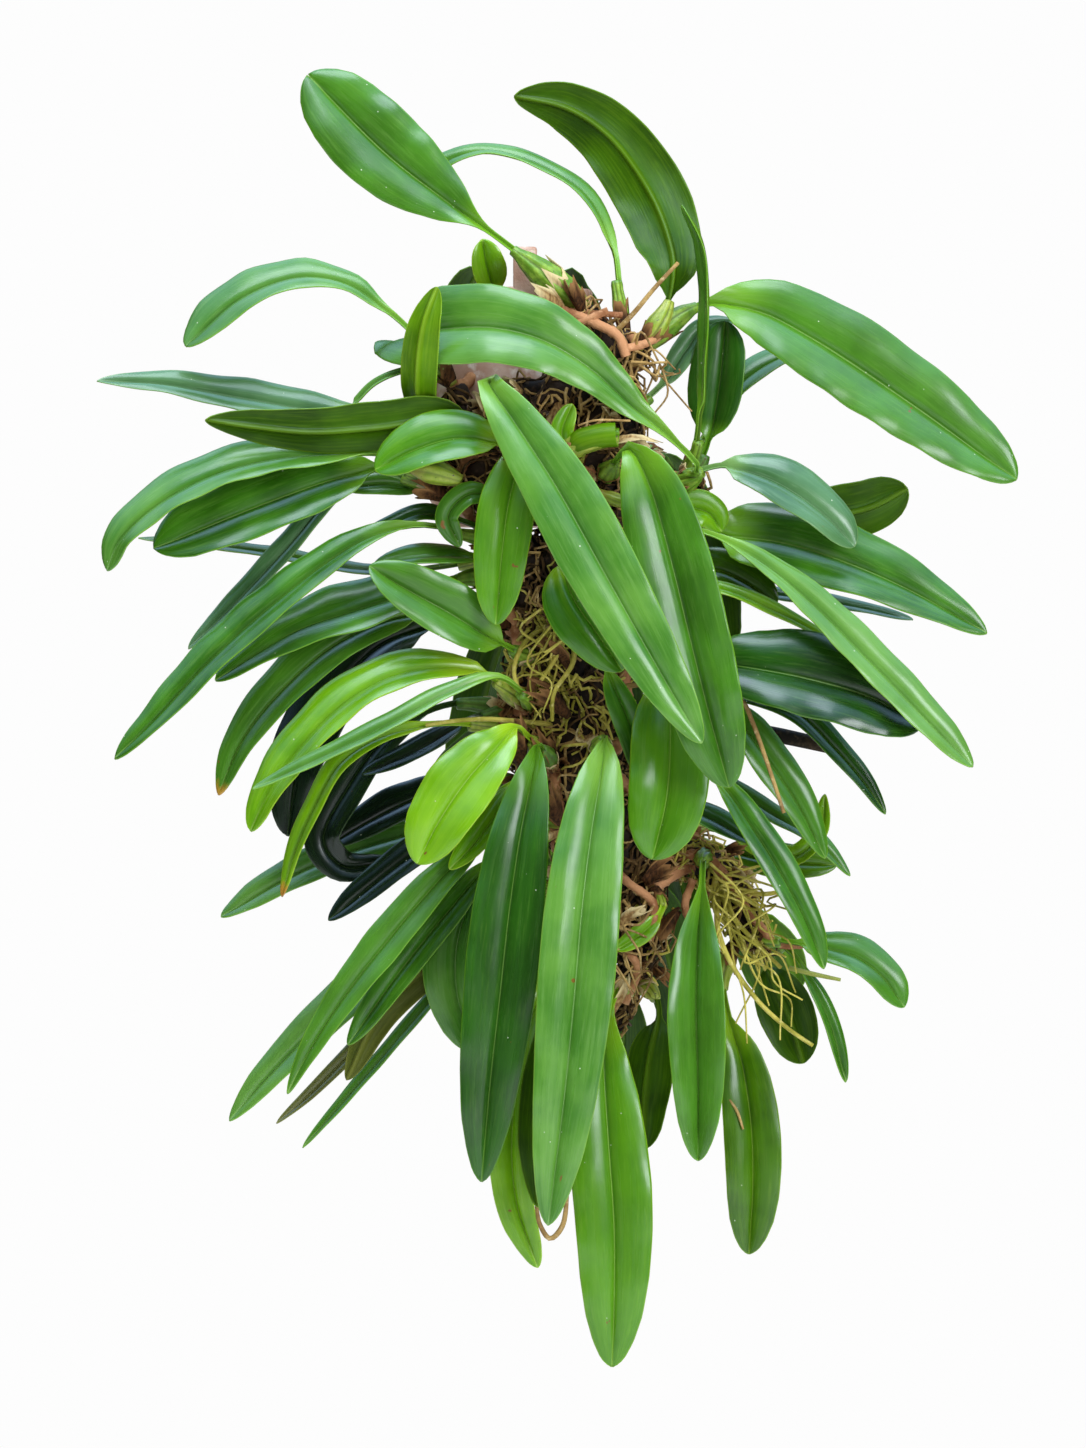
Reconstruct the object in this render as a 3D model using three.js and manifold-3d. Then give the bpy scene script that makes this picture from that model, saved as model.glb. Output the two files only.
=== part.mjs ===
// Bulbophyllum orchid in a hanging clay vase: a rambling plant of strap leaves, each on its own
// ridged pseudobulb, rooted in a brown mass of rhizomes that climbs out of the vase and hangs
// down in front of it. Millimetres, +Z up, the viewer looks along +Y. The origin is the point
// midway between the two pierced lugs that the vase hangs by.

import * as THREE from 'three';
import { mergeVertices } from 'three/addons/utils/BufferGeometryUtils.js';
import Module from 'manifold-3d';

const wasm = await Module();
wasm.setup();

// Driving dimensions of the vase.
const RIM_RADIUS = 41;
const RIM_HEIGHT = -20;
const NECK_RADIUS = 39;
const BELLY_RADIUS = 54;
const BELLY_HEIGHT = -82;
const FOOT_RADIUS = 31;
const FOOT_HEIGHT = -140;
const WALL = 4;
const DRAIN_RADIUS = 6;
const VASE_SIDES = 24;
const AIR_HOLES = 8;
const AIR_HOLE_RADIUS = 3.2;
const LUG_WIDTH = 24;
const LUG_TOP = 0;
const LUG_THICKNESS = 5;
const LUG_OFFSET = 5;
const CORD_HOLE_RADIUS = 2.6;

// Driving dimensions of the plant.
const CLEARANCE = 0.4;
const FINEST_STEP = 0.1;
const BLADE_THICKNESS = 1.0;
const RIB_DEPTH = 0.5;
const PETIOLE_HALF = 2.4;
const STEM_RADIUS = 2.2;
const SOCKET_SIDES = 5;
const ROOT_RADIUS = 1.4;

const COLOURS = {
  clay: 0xcdb8aa,
  bark: 0x5b4030,
  rhizome: 0x7a5034,
  deep: 0x245a18,
  mid: 0x3f8a2e,
  light: 0x69ad4a,
  bright: 0x76b82c,
  grey: 0x4d7f5c,
  olive: 0x5d7d12,
};

// Half width of a blade along its length, as a share of its greatest half width.
const BLADE_OUTLINE = [
  [0, 0.16], [0.08, 0.44], [0.18, 0.7], [0.32, 0.9], [0.46, 0.99], [0.6, 1],
  [0.75, 0.93], [0.87, 0.74], [0.95, 0.46], [1, 0.1],
];
const BLADE_STATIONS = {
  short: [0.08, 0.34, 0.64, 0.9, 1],
  middling: [0.04, 0.22, 0.46, 0.7, 0.9, 1],
  long: [0, 0.15, 0.32, 0.52, 0.72, 0.89, 1],
};

function between(table, at) {
  for (let i = 1; i < table.length; i += 1) {
    const [a, from] = table[i - 1];
    const [b, to] = table[i];
    if (at <= b) {
      return from + (to - from) * ((at - a) / (b - a));
    }
  }
  return table[table.length - 1][1];
}

// A closed loft through rings of equal point count, capped at both ends.
function loft(rings) {
  const sides = rings[0].length;
  const positions = rings.flat().flatMap((point) => [point.x, point.y, point.z]);
  const index = [];
  for (let ring = 0; ring + 1 < rings.length; ring += 1) {
    for (let side = 0; side < sides; side += 1) {
      const next = (side + 1) % sides;
      const a = ring * sides + side;
      const b = ring * sides + next;
      const c = a + sides;
      const d = b + sides;
      index.push(a, b, d, a, d, c);
    }
  }
  const last = (rings.length - 1) * sides;
  for (let side = 1; side + 1 < sides; side += 1) {
    index.push(0, side + 1, side);
    index.push(last, last + side, last + side + 1);
  }
  const geometry = new THREE.BufferGeometry();
  geometry.setAttribute('position', new THREE.Float32BufferAttribute(positions, 3));
  geometry.setIndex(index);
  return geometry;
}

function toSolid(geometry) {
  const bare = geometry.clone();
  bare.deleteAttribute('normal');
  bare.deleteAttribute('uv');
  const merged = mergeVertices(bare, 1e-4);
  const mesh = new wasm.Mesh({
    numProp: 3,
    vertProperties: new Float32Array(merged.attributes.position.array),
    triVerts: new Uint32Array(merged.index.array),
  });
  return new wasm.Manifold(mesh);
}

function toGeometry(solid) {
  const mesh = solid.asOriginal().simplify(FINEST_STEP).getMesh();
  const geometry = new THREE.BufferGeometry();
  geometry.setAttribute('position', new THREE.BufferAttribute(mesh.vertProperties, 3));
  geometry.setIndex(new THREE.BufferAttribute(mesh.triVerts, 1));
  geometry.computeVertexNormals();
  return geometry;
}

function joined(solids) {
  return solids.reduce((whole, solid) => whole.add(solid));
}

const plant = new THREE.Group();

function addNode(name, geometry, colour, roughness) {
  const material = new THREE.MeshStandardMaterial({ color: colour, roughness, metalness: 0 });
  const mesh = new THREE.Mesh(geometry, material);
  mesh.name = name;
  plant.add(mesh);
}

function smooth(points) {
  const curve = new THREE.CatmullRomCurve3(
    points.map(([x, y, z]) => new THREE.Vector3(x, y, z)), false, 'centripetal');
  curve.arcLengthDivisions = 400;
  return curve;
}

// How far along its spine a leaf's parts reach: rhizome stub, pseudobulb and petiole.
function leafParts(leaf) {
  const curve = smooth(leaf.spine);
  const length = curve.getLength();
  const stem = leaf.stem ?? Math.min(8, length * 0.07);
  const bulbLength = leaf.bulb ?? Math.min(22, length * 0.15);
  const petiole = leaf.petiole ?? Math.min(12, length * 0.08);
  return {
    curve,
    length,
    bulbRadius: leaf.bulbRadius ?? Math.min(5.5, 2.6 + leaf.width * 0.07),
    belly: stem + bulbLength * 0.45,
    bulbTop: stem + bulbLength,
    bladeStart: stem + bulbLength + petiole,
  };
}

// One leaf: a ridged pseudobulb, a channelled petiole and a strap blade with its groove above.
// spine runs from the root in the rhizome to the tip; face is where the upper side looks.
function leafRings(leaf) {
  const { curve, length, bulbRadius, belly, bulbTop, bladeStart } = leafParts(leaf);
  const face = new THREE.Vector3(...leaf.face);
  const points = leaf.spine.length;
  const span = points < 6 ? 'short' : points < 8 ? 'middling' : 'long';
  const sections = [
    round(0, STEM_RADIUS),
    round(belly, bulbRadius),
    round(bulbTop, PETIOLE_HALF),
    ...BLADE_STATIONS[span].map((t) => {
      const wide = Math.max((leaf.width / 2) * between(BLADE_OUTLINE, t), 0.8);
      const fold = (leaf.fold ?? 0.22) * (t < 0.1 ? 1.6 : 1);
      return {
        at: bladeStart + (length - bladeStart) * t,
        half: wide,
        edge: BLADE_THICKNESS / 2,
        above: BLADE_THICKNESS / 2,
        below: BLADE_THICKNESS / 2 + RIB_DEPTH * (1 - 0.6 * t),
        lift: wide * fold,
      };
    }),
  ];
  return sections.map((section) => {
    const share = Math.min(section.at / length, 1);
    const centre = curve.getPointAt(share);
    const along = curve.getTangentAt(share);
    const right = along.clone().cross(face).normalize();
    const up = right.clone().cross(along).normalize();
    const { half, edge, lift, above, below } = section;
    const place = (across, rise) => centre.clone()
      .addScaledVector(right, across)
      .addScaledVector(up, rise);
    return [
      place(-half, lift + edge),
      place(0, above),
      place(half, lift + edge),
      place(half, lift - edge),
      place(0, -below),
      place(-half, lift - edge),
    ];
  });
}

function round(at, radius) {
  const half = radius * Math.cos(Math.PI / 6);
  return { at, half, edge: radius / 2, above: radius, below: radius, lift: 0 };
}

// The plain hole that a leaf stands in, from just behind its root to the end of its pseudobulb.
function socketRings(leaf) {
  const { curve, length, bulbRadius, bulbTop } = leafParts(leaf);
  const reach = (bulbRadius + CLEARANCE) / Math.cos(Math.PI / SOCKET_SIDES);
  const end = (leaf.sunk ?? bulbTop) / length;
  const from = curve.getPointAt(0);
  const along = curve.getPointAt(end).sub(from).normalize();
  const right = along.clone().cross(new THREE.Vector3(...leaf.face)).normalize();
  const down = along.clone().cross(right);
  return [from.addScaledVector(along, -CLEARANCE - 0.4), curve.getPointAt(end)]
    .map((centre) => circle(centre, right, down, SOCKET_SIDES, () => reach));
}

function circle(centre, right, up, sides, reach) {
  return Array.from({ length: sides }, (_, side) => {
    const angle = (side / sides) * 2 * Math.PI;
    const radius = reach();
    return centre.clone()
      .addScaledVector(right, Math.cos(angle) * radius)
      .addScaledVector(up, Math.sin(angle) * radius);
  });
}

// A knobbly stalk of round section through hand-placed points, each with its radius.
function stalk(points, sides, steps, knobble = 0, random = null, grow = 0) {
  const curve = smooth(points);
  const rings = [];
  const frames = curve.computeFrenetFrames(steps, false);
  for (let step = 0; step <= steps; step += 1) {
    const t = step / steps;
    const centre = curve.getPointAt(t);
    const scaled = curve.getUtoTmapping(t) * (points.length - 1);
    const before = Math.min(Math.floor(scaled), points.length - 2);
    const share = scaled - before;
    const radius = points[before][3] * (1 - share) + points[before + 1][3] * share;
    const reach = () => radius * (knobble ? 1 + knobble * (random() - 0.5) * 2 : 1) + grow;
    rings.push(circle(centre, frames.normals[step], frames.binormals[step], sides, reach));
  }
  return rings;
}

function seeded(seed) {
  let state = seed;
  return () => {
    state = (state * 1664525 + 1013904223) % 4294967296;
    return state / 4294967296;
  };
}

// Where an upper side looks, for leaves that lie alike.
const TO_VIEWER = [0, -1, 0.15];
const UP_LEFT = [-0.3, -0.62, 0.72];
const UP_RIGHT = [0.25, -0.62, 0.74];
const UP = [0, -0.45, 0.9];

// The leaves, by node. A node with several leaves is a short branch that they share, so they
// start from one root point. Spines are x, y, z in millimetres; y is the depth, less is nearer.
const LEAVES = {
  leaf_crown_left: [
    { width: 45, face: [0, -1, 0.25], tone: 'mid', bulb: 50, bulbRadius: 8, petiole: 10,
      spine: [[42, -46, -40], [34, -50, -30], [16, -55, -14], [-3, -57, 1], [-30, -54, 21],
        [-62, -50, 46], [-103, -44, 88]] },
  ],
  leaf_crown_arch: [
    { width: 17, face: [0.6, -0.5, 0.8], tone: 'light',
      spine: [[58, -44, -46], [54, -40, -22], [51, -34, 0], [40, -28, 24], [20, -24, 39],
        [0, -20, 47], [-14, -16, 49], [-30, -14, 45], [-50, -12, 32]] },
  ],
  leaf_crown_tall: [
    { width: 38, face: [-0.2, 0.95, 0.35], tone: 'olive', petiole: 3,
      spine: [[64, -56, -52], [72, -58, -42], [79, -55, -30], [82, -48, -12], [79, -36, 6],
        [69, -22, 30], [49, -16, 57], [28, -12, 71], [2, -8, 77]] },
  ],
  leaves_crown_upright: [
    { width: 16, face: [-1, -0.32, 0], tone: 'mid',
      spine: [[86, -28, -118], [94, -46, -100], [97, -54, -60], [98, -55, -20], [95, -56, 2],
        [86, -58, 20]] },
    { width: 32, face: [-0.35, -0.9, 0.1], tone: 'deep', fold: 0.4,
      spine: [[86, -28, -118], [97, -32, -106], [104, -34, -75], [108, -34, -37]] },
    { width: 22, face: UP, tone: 'mid',
      spine: [[86, -28, -118], [98, -14, -96], [116, -6, -68], [148, 0, -52], [176, 2, -60]] },
  ],
  leaf_crown_behind: [
    { width: 14, face: UP_RIGHT, tone: 'grey',
      spine: [[58, -40, -86], [76, -32, -70], [88, -28, -52], [98, -26, -40], [113, -24, -37]] },
  ],
  leaf_crown_right: [
    { width: 49, face: [0.15, -0.9, 0.35], tone: 'mid', bulb: 36, bulbRadius: 6.5, petiole: 4, fold: 0.3,
      spine: [[60, -44, -56], [78, -42, -40], [98, -38, -29], [124, -38, -32], [150, -40, -45],
        [200, -42, -78], [254, -42, -117]] },
  ],
  leaves_crown_sweep: [
    { width: 45, face: [0.1, -0.95, 0.3], tone: 'light',
      spine: [[78, -38, -122], [94, -60, -113], [80, -70, -97], [60, -76, -80], [40, -82, -62],
        [16, -87, -48], [-8, -84, -42], [-30, -74, -42], [-46, -56, -44], [-53, -34, -47],
        [-56, -14, -50]] },
    { width: 31, face: [0.2, -0.8, 0.6], tone: 'grey',
      spine: [[78, -38, -122], [94, -50, -114], [108, -54, -111], [128, -58, -116],
        [146, -60, -126], [162, -60, -139], [172, -58, -151]] },
  ],
  leaf_crown_olive: [
    { width: 24, face: [0.35, 0.93, 0.1], tone: 'olive', bulb: 6, petiole: 3,
      spine: [[-30, -50, -99], [-38, -57, -94], [-45, -65, -82], [-46, -83, -62], [-43, -91, -41],
        [-36.5, -90, -22]] },
  ],
  leaf_mouth_small: [
    { width: 20, face: [0.2, -0.9, 0.1], tone: 'bright', bulb: 12, petiole: 4, fold: 0.5,
      spine: [[-4, -14, -40], [-8, -22, -22], [-12, -28, -8], [-14, -31, 4]] },
  ],
  leaves_left_arch: [
    { width: 31, face: [-0.15, -0.6, 0.8], tone: 'light', bulb: 18,
      spine: [[-28, -60, -70], [-38, -64, -56], [-50, -62, -44], [-62, -60, -33], [-80, -58, -20],
        [-105, -58, -16], [-135, -60, -27], [-162, -62, -51]] },
    { width: 5, face: UP_LEFT, tone: 'light', bulb: 10, petiole: 8,
      spine: [[-28, -60, -70], [-42, -58, -62], [-54, -56, -63], [-68, -54, -69],
        [-79, -52, -80]] },
  ],
  leaf_left_grey: [
    { width: 24, face: [0, -0.75, 0.66], tone: 'grey',
      spine: [[-34, -40, -112], [-48, -46, -99], [-64, -50, -89], [-100, -52, -82],
        [-140, -54, -75], [-175, -56, -69], [-207, -58, -68]] },
  ],
  leaf_left_underside: [
    { width: 28, face: [0.05, 0.9, 0.4], tone: 'olive', bulb: 6, petiole: 2,
      spine: [[-14, -60, -106], [-20, -68, -94], [-34, -72, -88], [-66, -73, -92],
        [-100, -73, -94], [-130, -73, -91], [-152, -73, -88]] },
  ],
  leaves_left_pair: [
    { width: 32, face: UP_LEFT, tone: 'light',
      spine: [[-24, -56, -120], [-44, -60, -109], [-70, -62, -105], [-110, -64, -106],
        [-145, -66, -114], [-176, -67, -130], [-195, -67, -148], [-201, -66, -163]] },
    { width: 42, face: [-0.2, -0.85, 0.5], tone: 'mid',
      spine: [[-24, -56, -120], [-42, -56, -116], [-60, -54, -112], [-85, -54, -116],
        [-120, -56, -128], [-150, -58, -140], [-178, -60, -152]] },
  ],
  leaves_left_narrow: [
    { width: 15, face: [-0.5, -0.8, 0.3], tone: 'grey',
      spine: [[-26, -46, -124], [-48, -48, -118], [-71, -48, -113], [-90, -48, -126],
        [-110, -50, -149], [-135, -52, -176], [-161, -54, -202]] },
    { width: 14, face: [0, -0.9, 0.4], tone: 'mid',
      spine: [[-26, -46, -124], [-44, -45, -122], [-62, -44, -119], [-84, -46, -121]] },
  ],
  leaf_left_pale: [
    { width: 16, face: [0, -0.4, 0.9], tone: 'olive',
      spine: [[2, -32, -154], [-40, -22, -162], [-80, -22, -162], [-110, -22, -156],
        [-150, -22, -150], [-187, -22, -146]] },
  ],
  leaves_left_long: [
    { width: 26, face: [-0.35, -0.75, 0.55], tone: 'mid',
      spine: [[0, -46, -150], [-22, -58, -145], [-45, -66, -141], [-70, -72, -146],
        [-92, -75, -159], [-120, -77, -181], [-150, -78, -208], [-178, -78, -238],
        [-197, -76, -257]] },
    { width: 14, face: UP_LEFT, tone: 'deep',
      spine: [[0, -46, -150], [-21, -51, -140], [-42, -52, -134], [-62, -52, -141],
        [-80, -50, -152]] },
  ],
  leaves_left_sheen: [
    { width: 38, face: [-0.15, -0.7, 0.7], tone: 'mid',
      spine: [[-2, -40, -168], [-20, -52, -166], [-42, -58, -172], [-75, -61, -182],
        [-105, -63, -192], [-128, -64, -205], [-147, -64, -218]] },
    { width: 24, face: UP, tone: 'mid',
      spine: [[-2, -40, -168], [-16, -54, -158], [-38, -60, -156], [-68, -63, -160]] },
  ],
  leaf_front_upturned: [
    { width: 33, face: [0.25, -0.95, 0.2], tone: 'mid', fold: 0.45,
      spine: [[14, -40, -208], [2, -58, -203], [-12, -72, -195], [-30, -80, -184],
        [-50, -84, -173], [-70, -86, -161]] },
  ],
  leaf_left_brown_tip: [
    { width: 28, face: [-0.4, -0.85, 0.35], tone: 'mid',
      spine: [[2, -32, -190], [-30, -42, -184], [-60, -46, -187], [-90, -49, -201],
        [-115, -51, -223], [-134, -52, -247], [-146, -52, -275]] },
  ],
  leaf_left_shade: [
    { width: 40, face: [-0.5, -0.8, 0.3], tone: 'deep',
      spine: [[4, -8, -196], [-30, -14, -190], [-66, -16, -200], [-92, -16, -230],
        [-107, -15, -262], [-112, -12, -296]] },
  ],
  leaves_left_curl: [
    { width: 22, face: [-0.3, -0.95, 0.2], tone: 'deep',
      spine: [[2, -24, -232], [-30, -28, -230], [-62, -30, -246], [-82, -30, -272],
        [-94, -30, -298], [-84, -30, -311], [-60, -28, -308]] },
    { width: 18, face: UP_LEFT, tone: 'deep',
      spine: [[2, -24, -232], [-20, -34, -238], [-45, -38, -252], [-74, -40, -265]] },
  ],
  leaves_left_low: [
    { width: 24, face: [-0.1, -0.8, 0.6], tone: 'deep',
      spine: [[10, -14, -270], [-20, -18, -268], [-50, -20, -278], [-72, -20, -289],
        [-92, -20, -301]] },
    { width: 22, face: [-0.2, -0.85, 0.5], tone: 'light',
      spine: [[10, -14, -270], [-20, -4, -286], [-55, 0, -296], [-90, 0, -307], [-118, 0, -320],
        [-146, 0, -337]] },
  ],
  leaves_left_bright: [
    { width: 33, face: [-0.35, -0.65, 0.7], tone: 'bright', petiole: 6,
      spine: [[10, -40, -232], [-8, -60, -218], [-25, -68, -211], [-60, -74, -216],
        [-85, -77, -231], [-107, -79, -254], [-121, -80, -275], [-129, -79, -293]] },
    { width: 13, face: [-0.2, -0.65, 0.7], tone: 'light',
      spine: [[10, -40, -232], [6, -66, -225], [-8, -80, -216], [-30, -88, -223], [-60, -94, -239],
        [-92, -96, -255], [-128, -96, -272]] },
  ],
  leaf_left_orange_tip: [
    { width: 14, face: [-0.6, -0.75, 0.3], tone: 'bright',
      spine: [[6, -30, -244], [-30, -46, -240], [-60, -54, -244], [-84, -58, -258],
        [-98, -60, -281], [-108, -60, -304], [-114, -58, -326]] },
  ],
  leaves_lower_left_inner: [
    { width: 19, face: [-0.3, -0.85, 0.4], tone: 'deep',
      spine: [[22, -24, -294], [-8, -40, -290], [-34, -42, -296], [-55, -43, -309],
        [-74, -43, -324], [-91, -42, -338]] },
    { width: 34, face: [-0.2, -0.95, 0.1], tone: 'light',
      spine: [[22, -24, -294], [2, -44, -306], [-16, -50, -322], [-26, -52, -346],
        [-27, -52, -372], [-18, -50, -404]] },
  ],
  leaves_short_bright: [
    { width: 40, face: [-0.1, -0.95, 0.3], tone: 'bright', bulb: 10, petiole: 3,
      spine: [[14, -40, -254], [8, -60, -246], [2, -74, -242], [-6, -84, -250], [-22, -90, -268],
        [-36, -92, -289], [-46, -90, -309]] },
    { width: 16, face: [-0.2, -0.9, 0.3], tone: 'bright', petiole: 6,
      spine: [[14, -40, -254], [6, -62, -268], [-5, -74, -282], [-17, -80, -298],
        [-30, -81, -312]] },
  ],
  leaves_lower_left_outer: [
    { width: 24, face: [-0.3, -0.9, 0.3], tone: 'light',
      spine: [[30, -14, -310], [0, -20, -326], [-36, -24, -340], [-74, -28, -370],
        [-104, -30, -398], [-125, -31, -420], [-141, -30, -439]] },
    { width: 10, face: [-0.4, -0.9, 0.1], tone: 'olive',
      spine: [[30, -14, -310], [-10, -10, -338], [-45, -8, -368], [-80, -8, -405],
        [-100, -8, -425], [-118, -8, -441]] },
  ],
  leaves_lower_left_strap: [
    { width: 22, face: [-0.3, -0.95, 0.2], tone: 'mid',
      spine: [[26, -32, -292], [2, -58, -288], [-12, -66, -296], [-34, -72, -316],
        [-60, -75, -346], [-84, -76, -377], [-101, -75, -404], [-111, -73, -424]] },
    { width: 19, face: [-0.3, -0.95, 0.1], tone: 'mid',
      spine: [[26, -32, -292], [6, -52, -300], [-10, -58, -310], [-30, -62, -332],
        [-55, -64, -363], [-81, -62, -400]] },
  ],
  leaves_lower_left_thin: [
    { width: 10, face: [-0.7, -0.7, 0.2], tone: 'mid',
      spine: [[36, -22, -318], [2, -36, -338], [-22, -40, -358], [-45, -42, -384],
        [-70, -43, -413], [-104, -42, -452]] },
    { width: 20, face: [0.3, 0.9, 0.2], tone: 'olive',
      spine: [[36, -22, -318], [0, -42, -328], [-22, -46, -343], [-45, -47, -364],
        [-66, -48, -386], [-82, -48, -418]] },
  ],
  leaf_front_dark: [
    { width: 39, face: [-0.1, -1, 0.1], tone: 'deep', bulb: 16, fold: 0.3,
      spine: [[22, -40, -262], [14, -68, -251], [12, -88, -262], [6, -97, -290], [0, -101, -330],
        [-5, -103, -375], [-10, -101, -420], [-14, -97, -467]] },
  ],
  leaf_front_light: [
    { width: 40, face: [0.05, -1, 0.08], tone: 'light', bulb: 16, fold: 0.28,
      spine: [[44, -42, -256], [47, -70, -247], [46, -92, -260], [41, -105, -290],
        [36, -113, -330], [32, -117, -375], [27, -117, -425], [19, -113, -488]] },
  ],
  leaves_lower_narrow: [
    { width: 24, face: [-0.3, -0.9, 0], tone: 'bright',
      spine: [[46, -22, -338], [26, -50, -356], [8, -64, -394], [1, -68, -440], [3, -68, -478],
        [14, -66, -511]] },
    { width: 25, face: [0.2, 0.95, 0], tone: 'olive',
      spine: [[46, -22, -338], [36, -58, -362], [22, -82, -398], [14, -88, -440],
        [14, -87, -480]] },
  ],
  leaves_lowest: [
    { width: 41, face: [0, -1, 0.08], tone: 'mid', bulb: 18, fold: 0.3,
      spine: [[62, -8, -372], [54, -34, -374], [48, -52, -388], [47, -60, -410], [49, -66, -445],
        [52, -69, -490], [52, -68, -530], [51, -64, -561]] },
    { width: 27, face: [0.35, 0.9, 0.1], tone: 'olive', sunk: 16,
      spine: [[62, -8, -372], [71, -20, -374], [74, -29, -386], [70, -34, -406], [67, -36, -430],
        [67, -36, -453]] },
  ],
  leaf_folded: [
    { width: 42, face: [0, -1, 0.05], tone: 'mid', bulb: 16, fold: 0.8,
      spine: [[99, -8, -308], [97, -28, -308], [96, -44, -322], [94, -54, -346], [93, -60, -380],
        [94, -61, -420], [94, -59, -458]] },
  ],
  leaf_hanging_olive: [
    { width: 30, face: [0.05, -1, 0.05], tone: 'olive',
      spine: [[114, -8, -348], [107, -18, -368], [110, -24, -388], [116, -28, -408],
        [121, -30, -440], [122, -30, -472], [120, -28, -506]] },
  ],
  leaves_right_low: [
    { width: 30, face: [-0.2, 0.9, 0.3], tone: 'olive',
      spine: [[120, -6, -346], [126, 4, -354], [134, 6, -372], [142, 6, -391], [148, 5, -411]] },
    { width: 11, face: UP_RIGHT, tone: 'mid',
      spine: [[120, -6, -346], [138, -12, -353], [151, -14, -369], [162, -14, -392],
        [169, -13, -420]] },
    { width: 25, face: [0.1, -0.75, 0.66], tone: 'mid',
      spine: [[120, -6, -346], [140, -20, -350], [158, -24, -352], [175, -26, -357],
        [188, -26, -367], [198, -25, -382]] },
  ],
  leaves_right_diagonal: [
    { width: 20, face: [0.3, -0.85, 0.4], tone: 'mid',
      spine: [[62, -30, -274], [84, -44, -262], [104, -52, -268], [122, -56, -292],
        [138, -58, -318], [150, -58, -342], [157, -56, -362]] },
    { width: 20, face: UP_RIGHT, tone: 'deep',
      spine: [[62, -30, -274], [80, -36, -280], [98, -38, -286], [121, -38, -299]] },
  ],
  leaves_right_middle: [
    { width: 24, face: [0.3, -0.85, 0.4], tone: 'mid',
      spine: [[60, -20, -244], [90, -30, -230], [112, -36, -236], [130, -38, -258],
        [146, -39, -282], [158, -38, -307]] },
    { width: 15, face: UP_RIGHT, tone: 'mid',
      spine: [[60, -20, -244], [98, -18, -262], [130, -18, -284], [154, -18, -298],
        [171, -18, -316]] },
    { width: 15, face: [0.4, -0.85, 0.3], tone: 'deep',
      spine: [[60, -20, -244], [104, -14, -224], [142, -14, -232], [164, -15, -252],
        [180, -15, -271], [189, -14, -285]] },
  ],
  leaves_right_small: [
    { width: 12, face: [-0.3, -0.9, 0.3], tone: 'bright',
      spine: [[84, -2, -296], [102, 2, -291], [124, 4, -302], [144, 3, -306], [156, 2, -294],
        [159, 2, -275]] },
    { width: 20, face: [0, -0.9, 0.3], tone: 'olive',
      spine: [[84, -2, -296], [112, 10, -304], [136, 12, -309], [165, 12, -311]] },
  ],
  leaf_right_glossy: [
    { width: 50, face: [0.15, -0.88, 0.45], tone: 'deep',
      spine: [[56, -30, -208], [84, -48, -204], [100, -56, -208], [125, -62, -212],
        [150, -64, -217], [180, -64, -226], [206, -61, -240]] },
  ],
  leaves_right_long: [
    { width: 24, face: [0.25, -0.8, 0.55], tone: 'light',
      spine: [[60, -36, -142], [84, -56, -142], [105, -64, -147], [127, -68, -159],
        [150, -70, -178], [180, -72, -208], [208, -72, -237], [231, -69, -261]] },
    { width: 44, face: [0.1, -0.85, 0.5], tone: 'mid', fold: 0.3,
      spine: [[60, -36, -142], [86, -38, -142], [110, -40, -145], [135, -42, -148],
        [165, -44, -157], [200, -46, -172], [239, -44, -194]] },
    { width: 31, face: [0.1, 0.9, 0.35], tone: 'olive',
      spine: [[60, -36, -142], [96, -22, -144], [130, -20, -140], [155, -20, -136],
        [180, -20, -131], [200, -20, -121]] },
  ],
  leaves_right_inner: [
    { width: 24, face: [0, -0.9, 0.35], tone: 'olive',
      spine: [[56, -26, -164], [84, -28, -162], [104, -30, -162], [118, -31, -168],
        [134, -31, -179]] },
    { width: 12, face: UP_RIGHT, tone: 'bright',
      spine: [[56, -26, -164], [84, -42, -168], [110, -48, -173], [135, -50, -184],
        [160, -50, -197]] },
    { width: 14, face: [0, -0.5, 0.85], tone: 'grey',
      spine: [[56, -26, -164], [96, -10, -170], [130, -10, -174], [165, -12, -179],
        [203, -12, -187]] },
  ],
  leaf_right_waved: [
    { width: 20, face: [0.2, -0.95, 0.2], tone: 'bright', bulb: 10, petiole: 6,
      spine: [[62, -44, -134], [75, -50, -134], [89, -47, -131], [100, -45, -134],
        [106, -44, -143]] },
  ],
  leaf_front_two_tone: [
    { width: 45, face: [-0.15, -1, 0.1], tone: 'mid', bulb: 16, fold: 0.4,
      spine: [[46, -56, -118], [52, -76, -110], [60, -90, -103], [69, -98, -120], [80, -102, -158],
        [89, -104, -195], [99, -104, -235], [109, -100, -271]] },
  ],
  leaf_front_diagonal: [
    { width: 38, face: [-0.1, -1, 0.2], tone: 'light', bulb: 12, petiole: 6, fold: 0.16, sunk: 34,
      spine: [[12, -62, -100], [2, -71, -85], [-8, -80, -70], [-10, -90, -71], [0, -100, -86],
        [22, -110, -120], [46, -118, -163], [70, -123, -206], [95, -123, -249]] },
  ],
  leaves_front_left: [
    { width: 34, face: [0, -0.8, 0.6], tone: 'mid', fold: 0.35,
      spine: [[10, -64, -117], [3, -73, -109], [-7, -80, -100], [-26, -82, -97], [-48, -83, -103],
        [-67, -80, -113]] },
    { width: 30, face: [-0.15, -1, 0.1], tone: 'mid', bulb: 5, petiole: 2,
      spine: [[10, -64, -117], [10, -76, -108], [5, -82, -110], [0, -86, -126], [-4, -88, -154],
        [-7, -85, -190]] },
    { width: 14, face: [-0.3, -0.9, 0.2], tone: 'mid',
      spine: [[10, -64, -117], [-6, -73, -125], [-21, -77, -125], [-31, -74, -136],
        [-25, -71, -151]] },
  ],
  leaf_front_under: [
    { width: 34, face: [-0.2, -1, 0.15], tone: 'mid', bulb: 14, petiole: 6,
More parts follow.
